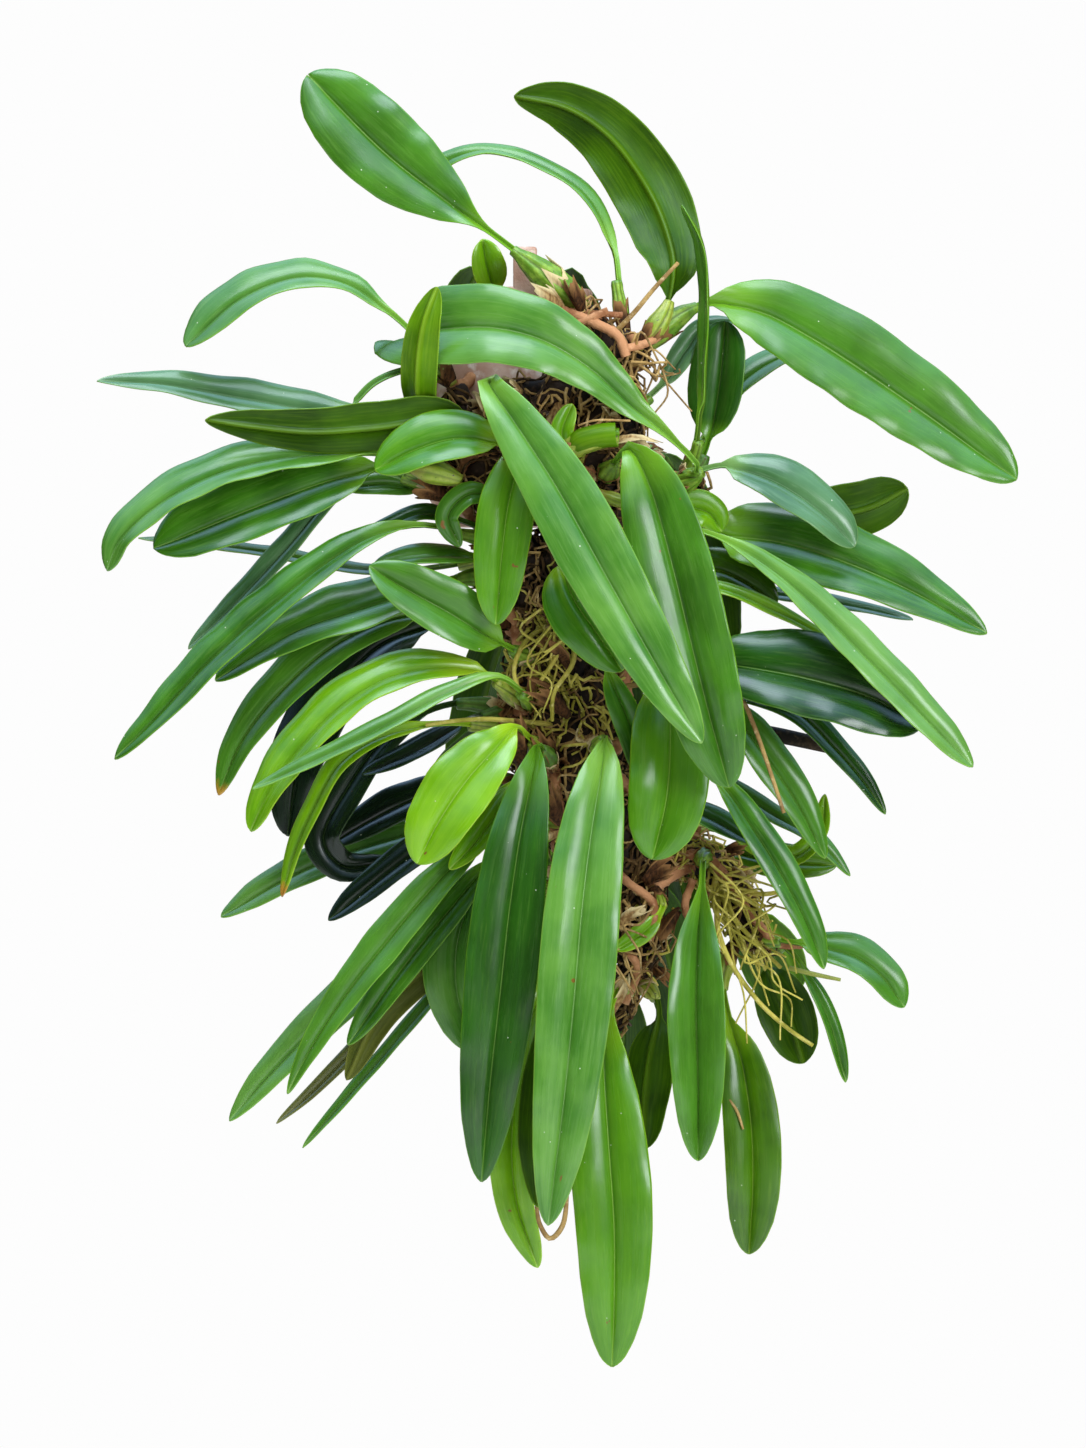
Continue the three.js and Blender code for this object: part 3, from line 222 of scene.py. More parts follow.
BRANCHES_OF_LEAVES = {
    "leaf_crown_left": [
        leaf(45, (0, -1, 0.25), "mid",
             [(42, -46, -40), (34, -50, -30), (16, -55, -14), (-3, -57, 1), (-30, -54, 21),
              (-62, -50, 46), (-101.5, -44, 86)],
             bulb=50, girth=8, petiole=10, fold=0.2, blunt=1, slender=1, belly=1.15, notch=3),
    ],
    "leaf_crown_arch": [
        leaf(17, (0.6, -0.5, 0.8), "light",
             [(58, -44, -46), (54, -40, -22), (51, -34, 0), (40, -28, 24), (20, -24, 39),
              (0, -20, 47), (-14, -16, 49), (-30, -14, 45), (-50, -12, 32)], slender=0),
    ],
    "leaf_crown_tall": [
        leaf(38, (-0.2, 0.95, 0.35), "olive",
             [(64, -56, -52), (72, -58, -42), (79, -55, -30), (82, -48, -12), (79, -36, 6),
              (69, -22, 30), (49, -16, 57), (28, -12, 71), (2, -8, 77)],
             petiole=3, fold=0.2, slender=0.2, belly=0.85),
    ],
    "leaves_crown_upright": [
        leaf(16, (-1, -0.32, 0), "mid",
             [(86, -28, -118), (94, -46, -100), (97, -54, -60), (98, -55, -20), (95, -56, 2),
              (86, -58, 20)], blunt=1, slender=0),
        leaf(32, (-0.35, -0.9, 0.1), "deep",
             [(86, -28, -118), (97, -32, -106), (104, -34, -75), (108, -34, -37)],
             fold=0.4, blunt=1),
        leaf(22, UP, "mid",
             [(86, -28, -118), (98, -14, -96), (116, -6, -68), (148, 0, -52), (176, 2, -60)]),
    ],
    "leaf_crown_behind": [
        leaf(14, UP_RIGHT, "grey",
             [(58, -40, -86), (76, -32, -70), (88, -28, -52), (98, -26, -40), (113, -24, -37)]),
    ],
    "leaf_crown_right": [
        leaf(49, (0.15, -0.9, 0.35), "mid",
             [(60, -44, -56), (78, -42, -40), (98, -38, -29), (124, -38, -32), (150, -40, -45),
              (200, -42, -78), (254, -42, -117)], bulb=36, girth=6.5, petiole=4, slender=0.1),
    ],
    "leaves_crown_sweep": [
        leaf(45, (0.1, -0.95, 0.3), "light",
             [(78, -38, -122), (94, -60, -113), (80, -70, -97), (60, -76, -80), (40, -82, -62),
              (16, -87, -48), (-8, -84, -42), (-30, -74, -42), (-46, -56, -44), (-53, -34, -47),
              (-56, -14, -50)], blunt=1, slender=0.6, belly=1.5),
        leaf(31, (0.2, -0.8, 0.6), "grey",
             [(78, -38, -122), (94, -50, -114), (108, -54, -111), (128, -58, -116),
              (146, -60, -126), (162, -60, -139), (172, -58, -151)], blunt=0.8, slender=0.2),
    ],
    "leaf_crown_olive": [
        leaf(21, (0.35, 0.93, 0.1), "fresh",
             [(-30, -50, -99), (-38, -57, -94), (-45, -65, -82), (-46, -83, -62), (-43, -91, -41),
              (-36.5, -90, -22)], bulb=6, petiole=3, slender=0),
    ],
    "leaf_mouth_small": [
        leaf(20, (0.2, -0.9, 0.1), "bright",
             [(-4, -14, -40), (-8, -22, -22), (-12, -28, -8), (-14, -31, 4)],
             bulb=12, petiole=4, fold=0.5),
    ],
    "leaves_left_arch": [
        leaf(31, (-0.15, -0.6, 0.8), "light",
             [(-28, -60, -70), (-38, -64, -56), (-50, -62, -44), (-62, -60, -33), (-80, -58, -20),
              (-105, -58, -16), (-135, -60, -27), (-162, -62, -51)],
             bulb=18, blunt=1, slender=0.6, belly=1.6),
        leaf(5, UP_LEFT, "light",
             [(-28, -60, -70), (-42, -58, -62), (-54, -56, -63), (-68, -54, -69), (-79, -52, -80)],
             bulb=10, petiole=8, blunt=1, slender=0),
    ],
    "leaf_left_grey": [
        leaf(24, (0, -0.75, 0.66), "grey",
             [(-34, -40, -112), (-48, -46, -99), (-64, -50, -89), (-100, -52, -82),
              (-140, -54, -75), (-175, -56, -69), (-206.6, -58, -68)], blunt=0.4, belly=0.9),
    ],
    "leaf_left_underside": [
        leaf(28, (0.05, 0.9, 0.4), "olive",
             [(-14, -60, -106), (-20, -68, -94), (-34, -72, -88), (-66, -73, -92),
              (-100, -73, -94), (-130, -73, -91), (-152, -73, -88)],
             bulb=6, petiole=2, blunt=0.7, slender=0, belly=0.8),
    ],
    "leaves_left_pair": [
        leaf(32, UP_LEFT, "light",
             [(-24, -56, -120), (-44, -60, -109), (-70, -62, -105), (-110, -64, -106),
              (-145, -66, -114), (-176, -67, -130), (-195, -67, -148), (-201, -66, -163)],
             blunt=1, slender=0.5),
        leaf(42, (-0.2, -0.85, 0.5), "mid",
             [(-24, -56, -120), (-42, -56, -116), (-60, -54, -112), (-85, -54, -116),
              (-120, -56, -128), (-150, -58, -140), (-178, -60, -152)], blunt=1, slender=0.2),
    ],
    "leaves_left_narrow": [
        leaf(15, (-0.5, -0.8, 0.3), "grey",
             [(-26, -46, -124), (-48, -48, -118), (-71, -48, -113), (-90, -48, -126),
              (-110, -50, -149), (-135, -52, -176), (-161, -54, -202)]),
        leaf(14, (0, -0.9, 0.4), "mid",
             [(-26, -46, -124), (-44, -45, -122), (-62, -44, -119), (-84, -46, -121)]),
    ],
    "leaf_left_pale": [
        leaf(16, (0, -0.4, 0.9), "olive",
             [(2, -32, -154), (-40, -22, -162), (-80, -22, -162), (-110, -22, -156),
              (-150, -22, -150), (-187, -22, -146)], blunt=0.6, slender=0),
    ],
    "leaves_left_long": [
        leaf(26, (-0.35, -0.75, 0.55), "mid",
             [(0, -46, -150), (-22, -58, -145), (-45, -66, -141), (-70, -72, -146),
              (-92, -75, -159), (-120, -77, -181), (-150, -78, -208), (-178, -78, -238),
              (-197, -76, -257)], slender=0.8),
        leaf(14, UP_LEFT, "deep",
             [(0, -46, -150), (-21, -51, -140), (-42, -52, -134), (-62, -52, -141),
              (-80, -50, -152)]),
    ],
    "leaves_left_sheen": [
        leaf(38, (-0.15, -0.7, 0.7), "mid",
             [(-2, -40, -168), (-20, -52, -166), (-42, -58, -172), (-75, -61, -182),
              (-105, -63, -192), (-128, -64, -205), (-147, -64, -218)],
             blunt=0.5, slender=0.2, belly=0.8),
        leaf(24, UP, "mid",
             [(-2, -40, -168), (-16, -54, -158), (-38, -60, -156), (-68, -63, -160)], slender=0),
    ],
    "leaf_front_upturned": [
        leaf(33, (0.25, -0.95, 0.2), "mid",
             [(14, -40, -208), (2, -58, -203), (-12, -72, -195), (-30, -80, -184),
              (-50, -84, -173), (-70, -86, -161)], fold=0.45, blunt=0.7, slender=0.1),
    ],
    "leaf_left_brown_tip": [
        leaf(28, (-0.4, -0.85, 0.35), "mid",
             [(2, -32, -190), (-30, -42, -184), (-60, -46, -187), (-90, -49, -201),
              (-115, -51, -223), (-134, -52, -247), (-146, -52, -275)], blunt=0.6, dry=0.25),
    ],
    # Leaves of the shade tone are painted shade: near-black greens for leaves in shadow.
    "leaf_left_shade": [
        leaf(40, (-0.5, -0.8, 0.3), "shade",
             [(4, -8, -196), (-30, -14, -190), (-66, -16, -200), (-92, -16, -230),
              (-107, -15, -262), (-112, -12, -296)]),
    ],
    "leaves_left_curl": [
        leaf(22, (-0.3, -0.95, 0.2), "shade",
             [(2, -24, -232), (-30, -28, -230), (-62, -30, -246), (-82, -30, -272),
              (-94, -30, -298), (-84, -30, -311), (-60, -28, -308)]),
        leaf(18, UP_LEFT, "shade",
             [(2, -24, -232), (-20, -34, -238), (-45, -38, -252), (-74, -40, -265)]),
    ],
    "leaves_left_low": [
        leaf(24, (-0.1, -0.8, 0.6), "shade",
             [(10, -14, -270), (-20, -18, -268), (-50, -20, -278), (-72, -20, -289),
              (-92, -20, -301)]),
        leaf(22, (-0.2, -0.85, 0.5), "light",
             [(10, -14, -270), (-20, -4, -286), (-55, 0, -296), (-90, 0, -307), (-118, 0, -320),
              (-146, 0, -337)]),
    ],
    "leaves_left_bright": [
        leaf(33, (-0.35, -0.65, 0.7), "bright",
             [(10, -40, -232), (-8, -60, -218), (-25, -68, -211), (-60, -74, -216),
              (-85, -77, -231), (-107, -79, -254), (-121, -80, -275), (-129, -79, -293)],
             petiole=6, slender=0, belly=1.1),
        leaf(13, (-0.2, -0.65, 0.7), "light",
             [(10, -40, -232), (6, -66, -225), (-8, -80, -216), (-30, -88, -223), (-60, -94, -239),
              (-92, -96, -255), (-128, -96, -272)], slender=0),
    ],
    "leaf_left_orange_tip": [
        leaf(14, (-0.6, -0.75, 0.3), "bright",
             [(6, -30, -244), (-30, -46, -240), (-60, -54, -244), (-84, -58, -258),
              (-98, -60, -281), (-108, -60, -304), (-114, -58, -326)], dry=0.3, slender=0.6),
    ],
    "leaves_lower_left_inner": [
        leaf(19, (-0.3, -0.85, 0.4), "shade",
             [(22, -24, -294), (-8, -40, -290), (-34, -42, -296), (-55, -43, -309),
              (-74, -43, -324), (-91, -42, -338)]),
        leaf(34, (-0.2, -0.95, 0.1), "light",
             [(22, -24, -294), (2, -44, -306), (-16, -50, -322), (-26, -52, -346),
              (-27, -52, -372), (-18, -50, -404)], slender=0.5),
    ],
    "leaves_short_bright": [
        leaf(37, (-0.1, -0.95, 0.3), "bright",
             [(14, -40, -254), (8, -60, -246), (2, -74, -242), (-6, -84, -250), (-22, -90, -268),
              (-36, -92, -289), (-46, -90, -309)],
             bulb=10, petiole=18, blunt=0.85, slender=0.6, belly=1.1),
        leaf(16, (-0.2, -0.9, 0.3), "bright",
             [(14, -40, -254), (6, -62, -268), (-5, -74, -282), (-17, -80, -298), (-30, -81, -312)],
             petiole=6, slender=0),
    ],
    "leaves_lower_left_outer": [
        leaf(24, (-0.3, -0.9, 0.3), "light",
             [(30, -14, -310), (0, -20, -326), (-36, -24, -340), (-74, -28, -370),
              (-104, -30, -398), (-125, -31, -420), (-141, -30, -439)], blunt=0.7),
        leaf(10, (-0.4, -0.9, 0.1), "dull",
             [(30, -14, -310), (-10, -10, -338), (-45, -8, -368), (-80, -8, -405),
              (-100, -8, -425), (-118, -8, -441)]),
    ],
    "leaves_lower_left_strap": [
        leaf(22, (-0.3, -0.95, 0.2), "mid",
             [(26, -32, -292), (2, -58, -288), (-12, -66, -296), (-34, -72, -316),
              (-60, -75, -346), (-84, -76, -377), (-101, -75, -404), (-111, -73, -424)],
             blunt=0.4, slender=0.5),
        leaf(19, (-0.3, -0.95, 0.1), "mid",
             [(26, -32, -292), (6, -52, -300), (-10, -58, -310), (-30, -62, -332),
              (-55, -64, -363), (-81, -62, -400)]),
    ],
    "leaves_lower_left_thin": [
        leaf(10, (-0.7, -0.7, 0.2), "mid",
             [(36, -22, -318), (2, -36, -338), (-22, -40, -358), (-45, -42, -384),
              (-70, -43, -413), (-104, -42, -452)]),
        leaf(20, (0.3, 0.9, 0.2), "dull",
             [(36, -22, -318), (0, -42, -328), (-22, -46, -343), (-45, -47, -364),
              (-66, -48, -386), (-82, -48, -418)]),
    ],
    "leaf_front_dark": [
        leaf(39, (-0.1, -1, 0.1), "deep",
             [(22, -40, -262), (14, -68, -251), (12, -88, -262), (6, -97, -290), (0, -101, -330),
              (-5, -103, -375), (-10, -101, -420), (-14, -97, -467)],
             bulb=16, blunt=0.75, slender=0.5),
    ],
    "leaf_front_light": [
        leaf(40, (0.05, -1, 0.08), "light",
             [(44, -42, -256), (47, -70, -247), (46, -92, -260), (41, -105, -290),
              (36, -113, -330), (32, -117, -375), (27, -117, -425), (19, -113, -488)],
             bulb=16, fold=0.28, blunt=0.7, slender=0.2),
    ],
    "leaves_lower_narrow": [
        leaf(24, (-0.3, -0.9, 0), "bright",
             [(46, -22, -338), (26, -50, -356), (8, -64, -394), (1, -68, -440), (3, -68, -478),
              (14, -66, -511)], blunt=1),
        leaf(25, (0.2, 0.95, 0), "olive",
             [(46, -22, -338), (36, -58, -362), (22, -82, -398), (14, -88, -440), (14, -87, -480)]),
    ],
    "leaves_lowest": [
        leaf(41, (0, -1, 0.08), "fresh",
             [(62, -8, -372), (54, -34, -374), (48, -52, -388), (47, -60, -410), (49, -66, -445),
              (52, -69, -490), (52, -68, -530), (51, -64, -560.7)],
             bulb=18, fold=0.22, blunt=0.85, slender=0.7),
        leaf(27, (0.35, 0.9, 0.1), "olive",
             [(62, -8, -372), (71, -20, -374), (74, -29, -386), (70, -34, -406), (67, -36, -430),
              (67, -36, -453)]),
    ],
    "leaf_folded": [
        leaf(38, (0, -1, 0.05), "mid",
             [(99, -8, -308), (97, -28, -308), (96, -44, -322), (94, -54, -346), (93, -60, -380),
              (94, -61, -420), (94, -59, -458)], bulb=16, fold=0.8, slender=0.95, notch=5),
    ],
    "leaf_hanging_olive": [
        leaf(30, (0.05, -1, 0.05), "olive",
             [(114, -8, -348), (107, -18, -368), (110, -24, -388), (116, -28, -408),
              (121, -30, -440), (122, -30, -472), (120, -28, -506)], blunt=1, slender=0.4),
    ],
    "leaves_right_low": [
        leaf(30, (-0.2, 0.9, 0.3), "olive",
             [(120, -6, -346), (126, 4, -354), (134, 6, -372), (142, 6, -391), (148, 5, -411)],
             blunt=0.8),
        leaf(11, UP_RIGHT, "mid",
             [(120, -6, -346), (138, -12, -353), (151, -14, -369), (162, -14, -392),
              (169, -13, -420)]),
        leaf(25, (0.1, -0.75, 0.66), "mid",
             [(120, -6, -346), (140, -20, -350), (158, -24, -352), (175, -26, -357),
              (188, -26, -367), (198, -25, -382)]),
    ],
    "leaves_right_diagonal": [
        leaf(20, (0.3, -0.85, 0.4), "mid",
             [(62, -30, -274), (84, -44, -262), (104, -52, -268), (122, -56, -292),
              (138, -58, -318), (150, -58, -342), (157, -56, -362)], slender=0.5),
        leaf(20, UP_RIGHT, "deep",
             [(62, -30, -274), (80, -36, -280), (98, -38, -286), (121, -38, -299)]),
    ],
    "leaves_right_middle": [
        leaf(24, (0.3, -0.85, 0.4), "mid",
             [(60, -20, -244), (90, -30, -230), (112, -36, -236), (130, -38, -258),
              (146, -39, -282), (158, -38, -307)], blunt=0.6),
        leaf(15, UP_RIGHT, "mid",
             [(60, -20, -244), (98, -18, -262), (130, -18, -284), (154, -18, -298),
              (171, -18, -316)]),
        leaf(15, (0.4, -0.85, 0.3), "deep",
             [(60, -20, -244), (104, -14, -224), (142, -14, -232), (164, -15, -252),
              (180, -15, -271), (189, -14, -285)]),
    ],
    "leaves_right_small": [
        leaf(12, (-0.3, -0.9, 0.3), "bright",
             [(84, -2, -296), (102, 2, -291), (124, 4, -302), (144, 3, -306), (156, 2, -294),
              (159, 2, -275)]),
        leaf(20, (0, -0.9, 0.3), "olive",
             [(84, -2, -296), (112, 10, -304), (136, 12, -309), (165, 12, -311)]),
    ],
    "leaf_right_glossy": [
        leaf(50, (0.15, -0.88, 0.45), "deep",
             [(56, -30, -208), (84, -48, -204), (100, -56, -208), (125, -62, -212),
              (150, -64, -217), (180, -64, -226), (206, -61, -240)],
             blunt=1, slender=0, belly=1.25, notch=4),
    ],
    "leaves_right_long": [
        leaf(24, (0.25, -0.8, 0.55), "light",
             [(60, -36, -142), (84, -56, -142), (105, -64, -147), (127, -68, -159),
              (150, -70, -178), (180, -72, -208), (208, -72, -237), (231, -69, -261)],
             blunt=1, slender=0.5, belly=1.3),
        leaf(44, (0.1, -0.85, 0.5), "mid",
             [(60, -36, -142), (86, -38, -142), (110, -40, -145), (135, -42, -148),
              (165, -44, -157), (200, -46, -172), (239, -44, -194)],
             blunt=0.45, slender=0, belly=0.75),
        leaf(31, (0.1, 0.9, 0.35), "olive",
             [(60, -36, -142), (96, -22, -144), (130, -20, -140), (155, -20, -136),
              (180, -20, -131), (200, -20, -121)], blunt=1, belly=1.7),
    ],
    "leaves_right_inner": [
        leaf(24, (0, -0.9, 0.35), "olive",
             [(56, -26, -164), (84, -28, -162), (104, -30, -162), (118, -31, -168),
              (134, -31, -179)]),
        leaf(12, UP_RIGHT, "bright",
             [(56, -26, -164), (84, -42, -168), (110, -48, -173), (135, -50, -184),
              (160, -50, -197)]),
        leaf(14, (0, -0.5, 0.85), "grey",
             [(56, -26, -164), (96, -10, -170), (130, -10, -174), (165, -12, -179),
              (203, -12, -187)]),
    ],
    "leaf_right_waved": [
        leaf(20, (0.2, -0.95, 0.2), "bright",
             [(62, -44, -134), (75, -50, -134), (89, -47, -131), (100, -45, -134),
              (106, -44, -143)], bulb=10, petiole=6),
    ],
    "leaf_front_two_tone": [
        leaf(45, (-0.15, -1, 0.1), "mid",
             [(46, -56, -118), (52, -76, -110), (60, -90, -103), (69, -98, -120), (80, -102, -158),
              (89, -104, -195), (99, -104, -235), (109, -100, -271)],
             bulb=16, fold=0.4, blunt=1, slender=0.1),
    ],
    "leaf_front_diagonal": [
        leaf(38, (-0.1, -1, 0.2), "light",
             [(12, -62, -100), (2, -71, -85), (-8, -80, -70), (-10, -90, -71), (0, -100, -86),
              (22, -110, -120), (46, -118, -163), (70, -123, -206), (95, -123, -249)],
             bulb=14, petiole=6, fold=0.22, blunt=0.7, slender=0.75),
    ],
    "leaves_front_left": [
        leaf(34, (0, -0.8, 0.6), "fresh",
             [(10, -64, -117), (3, -73, -109), (-7, -80, -100), (-26, -82, -97), (-48, -83, -103),
              (-67, -80, -113)], fold=0.35, blunt=0.8, slender=0),
        leaf(30, (-0.15, -1, 0.1), "fresh",
             [(10, -64, -117), (10, -76, -108), (5, -82, -110), (0, -86, -126), (-4, -88, -154),
              (-7, -85, -190)], bulb=5, petiole=2, slender=0),
        leaf(14, (-0.3, -0.9, 0.2), "mid",
             [(10, -64, -117), (-6, -73, -125), (-21, -77, -125), (-31, -74, -136),
              (-25, -71, -151)]),
    ],
    "leaf_front_under": [
        leaf(34, (-0.2, -1, 0.15), "fresh",
             [(34, -55, -154), (31, -68, -154), (27, -78, -161), (31, -84, -176), (43, -86, -194),
              (56, -84, -213)], bulb=14, petiole=6, blunt=0.6, slender=0),
    ],
    "leaves_front_lower": [
        leaf(16, (-0.1, -1, 0.1), "mid",
             [(52, -42, -206), (47, -58, -204), (50, -66, -216), (61, -66, -243), (68, -64, -270)]),
        leaf(42, (0.05, -1, 0.05), "fresh",
             [(52, -42, -206), (70, -54, -204), (78, -64, -218), (80, -74, -247), (78, -78, -277),
              (71, -78, -307)], blunt=1, slender=0, notch=1),
    ],
    "young_shoots": [
        leaf(12, TO_VIEWER, "bright",
             [(34, -62, -112), (29, -75, -105), (26, -79, -94), (31, -78, -80)],
             bulb=10, petiole=4),
        leaf(9, TO_VIEWER, "bright",
             [(34, -62, -112), (32, -76, -101), (42, -81, -98), (51, -82, -98), (54, -82, -98)],
             bulb=40, girth=6.5, petiole=2),
    ],
    "leaves_back_crown": [
        leaf(34, (0, 0.55, 0.85), "mid",
             [(4, 6, -40), (-8, 26, -19), (-14, 37, -12), (-18, 48, -13), (-24, 70, -34),
              (-32, 90, -80), (-35, 98, -128)]),
        leaf(36, (0.2, 0.5, 0.85), "deep",
             [(4, 6, -40), (18, 27, -18), (28, 40, -12), (30, 54, -20), (40, 76, -58),
              (49, 90, -108), (54, 96, -158)]),
    ],
    "leaf_lower_small": [
        leaf(11, (0.3, -0.9, 0.4), "bright",
             [(72, -26, -322), (76, -34, -332), (68, -38, -343), (53, -40, -353)],
             bulb=10, petiole=4),
    ],
}
BACK_SPRAYS = {
    "leaves_back_right": ((66, -34, -108), [
        (74, 110, 62, 12, 33, "mid"), (58, 84, 96, 8, 30, "deep")]),
    "leaves_back_upper": ((30, 4, -182), [
        (118, 120, 104, 24, 35, "mid"), (78, 124, 96, 30, 37, "deep")]),
    "leaves_back_middle": ((34, 12, -238), [
        (52, 98, 112, 14, 34, "mid"), (142, 104, 62, 14, 32, "deep"),
        (98, 126, 128, 18, 37, "light")]),
    "leaves_back_low": ((46, 17, -300), [
        (136, 82, 86, 6, 28, "mid"), (62, 100, 122, 8, 35, "deep"),
        (108, 98, 150, 8, 36, "mid")]),
    "leaf_back_lowest": ((63, 10, -346), [(98, 74, 158, 2, 36, "deep")]),
    "leaves_back_right_low": ((114, 0, -336), [
        (78, 84, 44, 8, 30, "mid"), (48, 48, 38, 6, 22, "light")]),
}
for node, (root, droops) in BACK_SPRAYS.items():
    BRANCHES_OF_LEAVES[node] = []
    for bearing, reach, fall, arch, width, tone in droops:
        ahead = Vector((math.cos(math.radians(bearing)), math.sin(math.radians(bearing)), 0))
        spine = [Vector(root) + ahead * reach * u + Vector((0, 0, arch * 4 * u * (1 - u) - fall * u * u))
                 for u in (0, 0.16, 0.36, 0.56, 0.78, 1)]
        BRANCHES_OF_LEAVES[node].append(leaf(width, (ahead.x * 0.6, ahead.y * 0.6, 0.8), tone, spine))
print("leaves:", sum(len(leaves) for leaves in BRANCHES_OF_LEAVES.values()))

# %% [markdown]
# ## Pieces that repeat
# A blade is cut from one flat grid, laid along its course. Its columns stand close together at the
# midrib, where the leaf has a narrow groove, and at the margin. Solidify gives it a leaf's
# thickness, thinner at the margin, and marks the underside as a second material. The grid, the
# pseudobulb and the papery sheath are made once here, and each leaf takes its own copy.

# %% Templates
COLUMNS = np.array([-1, -0.95, -0.82, -0.62, -0.4, -0.2, -0.09, -0.035, 0,
                    0.035, 0.09, 0.2, 0.4, 0.62, 0.82, 0.95, 1])
ROWS = 1 - (1 - np.linspace(0, 1, 43)) ** 1.35


def finish_template(name, across, along):
    """The grid just added becomes a template whose UV holds the real shares across and along."""
    made = bpy.context.object
    made.name = name
    spots = np.stack(np.meshgrid(across, along), axis=-1).reshape(-1, 2)
    loops = np.empty(len(made.data.loops), dtype=np.int32)
    made.data.loops.foreach_get("vertex_index", loops)
    made.data.uv_layers[0].uv.foreach_set("vector", spots[loops].astype(np.float32).ravel())
    bpy.context.scene.collection.objects.unlink(made)
    return made


bpy.ops.mesh.primitive_grid_add(x_subdivisions=len(COLUMNS) - 1, y_subdivisions=len(ROWS) - 1)
blade_template = finish_template("blade template", COLUMNS, ROWS)
fullness = blade_template.vertex_groups.new(name="fullness")
for column, share in enumerate(COLUMNS):
    fullness.add([row * len(COLUMNS) + column for row in range(len(ROWS))],
                 1 - 0.55 * abs(share) ** 3, "REPLACE")

RIB_SIDES, BULB_RINGS = 28, 11
bpy.ops.mesh.primitive_uv_sphere_add(segments=RIB_SIDES, ring_count=BULB_RINGS, radius=1)
bulb_template = bpy.context.object
bpy.context.scene.collection.objects.unlink(bulb_template)
bulb_shape = np.array([v.co for v in bulb_template.data.vertices])

SHEATH_ACROSS, SHEATH_UP = np.linspace(-1, 1, 15), np.linspace(0, 1, 6)
bpy.ops.mesh.primitive_grid_add(x_subdivisions=14, y_subdivisions=5)
sheath_template = finish_template("sheath template", SHEATH_ACROSS, SHEATH_UP)


def copy_of(template, name, vertices, material, values=None):
    """A copy of a template with its own mesh, its vertices placed and per-vertex values stored."""
    made = bpy.data.objects.new(name, template.data.copy())
    bpy.context.scene.collection.objects.link(made)
    made.data.vertices.foreach_set("co", (np.asarray(vertices) * MM).astype(np.float32).ravel())
    for key, numbers in (values or {}).items():
        stored = made.data.attributes.new(key, "FLOAT", "POINT")
        stored.data.foreach_set("value", np.broadcast_to(numbers, len(vertices)).astype(np.float32))
    made.data.materials.clear()
    for one in material if isinstance(material, list) else [material]:
        made.data.materials.append(one)
    made.data.shade_smooth()
    return made


def apply_modifier(made, kind, **settings):
    """Adds a modifier to an object and applies it."""
    modifier = made.modifiers.new(kind.lower(), kind)
    for key, value in settings.items():
        setattr(modifier, key, value)
    with bpy.context.temp_override(object=made, active_object=made, selected_objects=[made]):
        bpy.ops.object.modifier_apply(modifier=modifier.name)


def join(name, parts):
    """Several objects as one, keeping each one's materials."""
    bpy.ops.object.select_all(action="DESELECT")
    for part in parts:
        part.select_set(True)
    bpy.context.view_layer.objects.active = parts[0]
    if len(parts) > 1:
        bpy.ops.object.join()
    parts[0].name = name
    parts[0].data.name = name
    parts[0].select_set(False)
    return parts[0]


print("blade grid vertices:", len(blade_template.data.vertices))

# %% [markdown]
# ## How one leaf is laid
# From the root up, a leaf is a short stem, a ridged pseudobulb, a channelled petiole and the
# blade. The petiole is the same sheet as the blade, rolled up into a gutter that opens within the
# first fifth. The blade is a long oval that ends bluntly. Its halves rise from the midrib like
# the pages of an open book and bulge a little, and the margins ripple by a millimetre or two.

# %% Blade, pseudobulb and sheath
OUTLINE_ALONG = [0, 0.04, 0.1, 0.18, 0.28, 0.4, 0.52, 0.64, 0.76, 0.86, 0.93, 0.97, 0.99, 1]
SLENDER_HALF = [0.1, 0.14, 0.3, 0.52, 0.76, 0.93, 1, 0.99, 0.92, 0.77, 0.56, 0.36, 0.21, 0.02]
SUDDEN_HALF = [0.1, 0.34, 0.62, 0.82, 0.95, 1, 1, 0.98, 0.91, 0.77, 0.56, 0.36, 0.21, 0.02]
PETIOLE_HALF = 2.6


def leaf_plan(one):
    """The lengths of a leaf's parts along its course."""
    course, length = smooth_course(one["spine"])
    stem = min(8, 0.07 * length)
    bulb = one["bulb"] or min(22, 0.15 * length)
    petiole = one["petiole"] or min(12, 0.08 * length)
    girth = one["girth"] or min(5.5, 2.6 + 0.07 * one["width"])
    return course, length, stem, bulb, petiole, girth


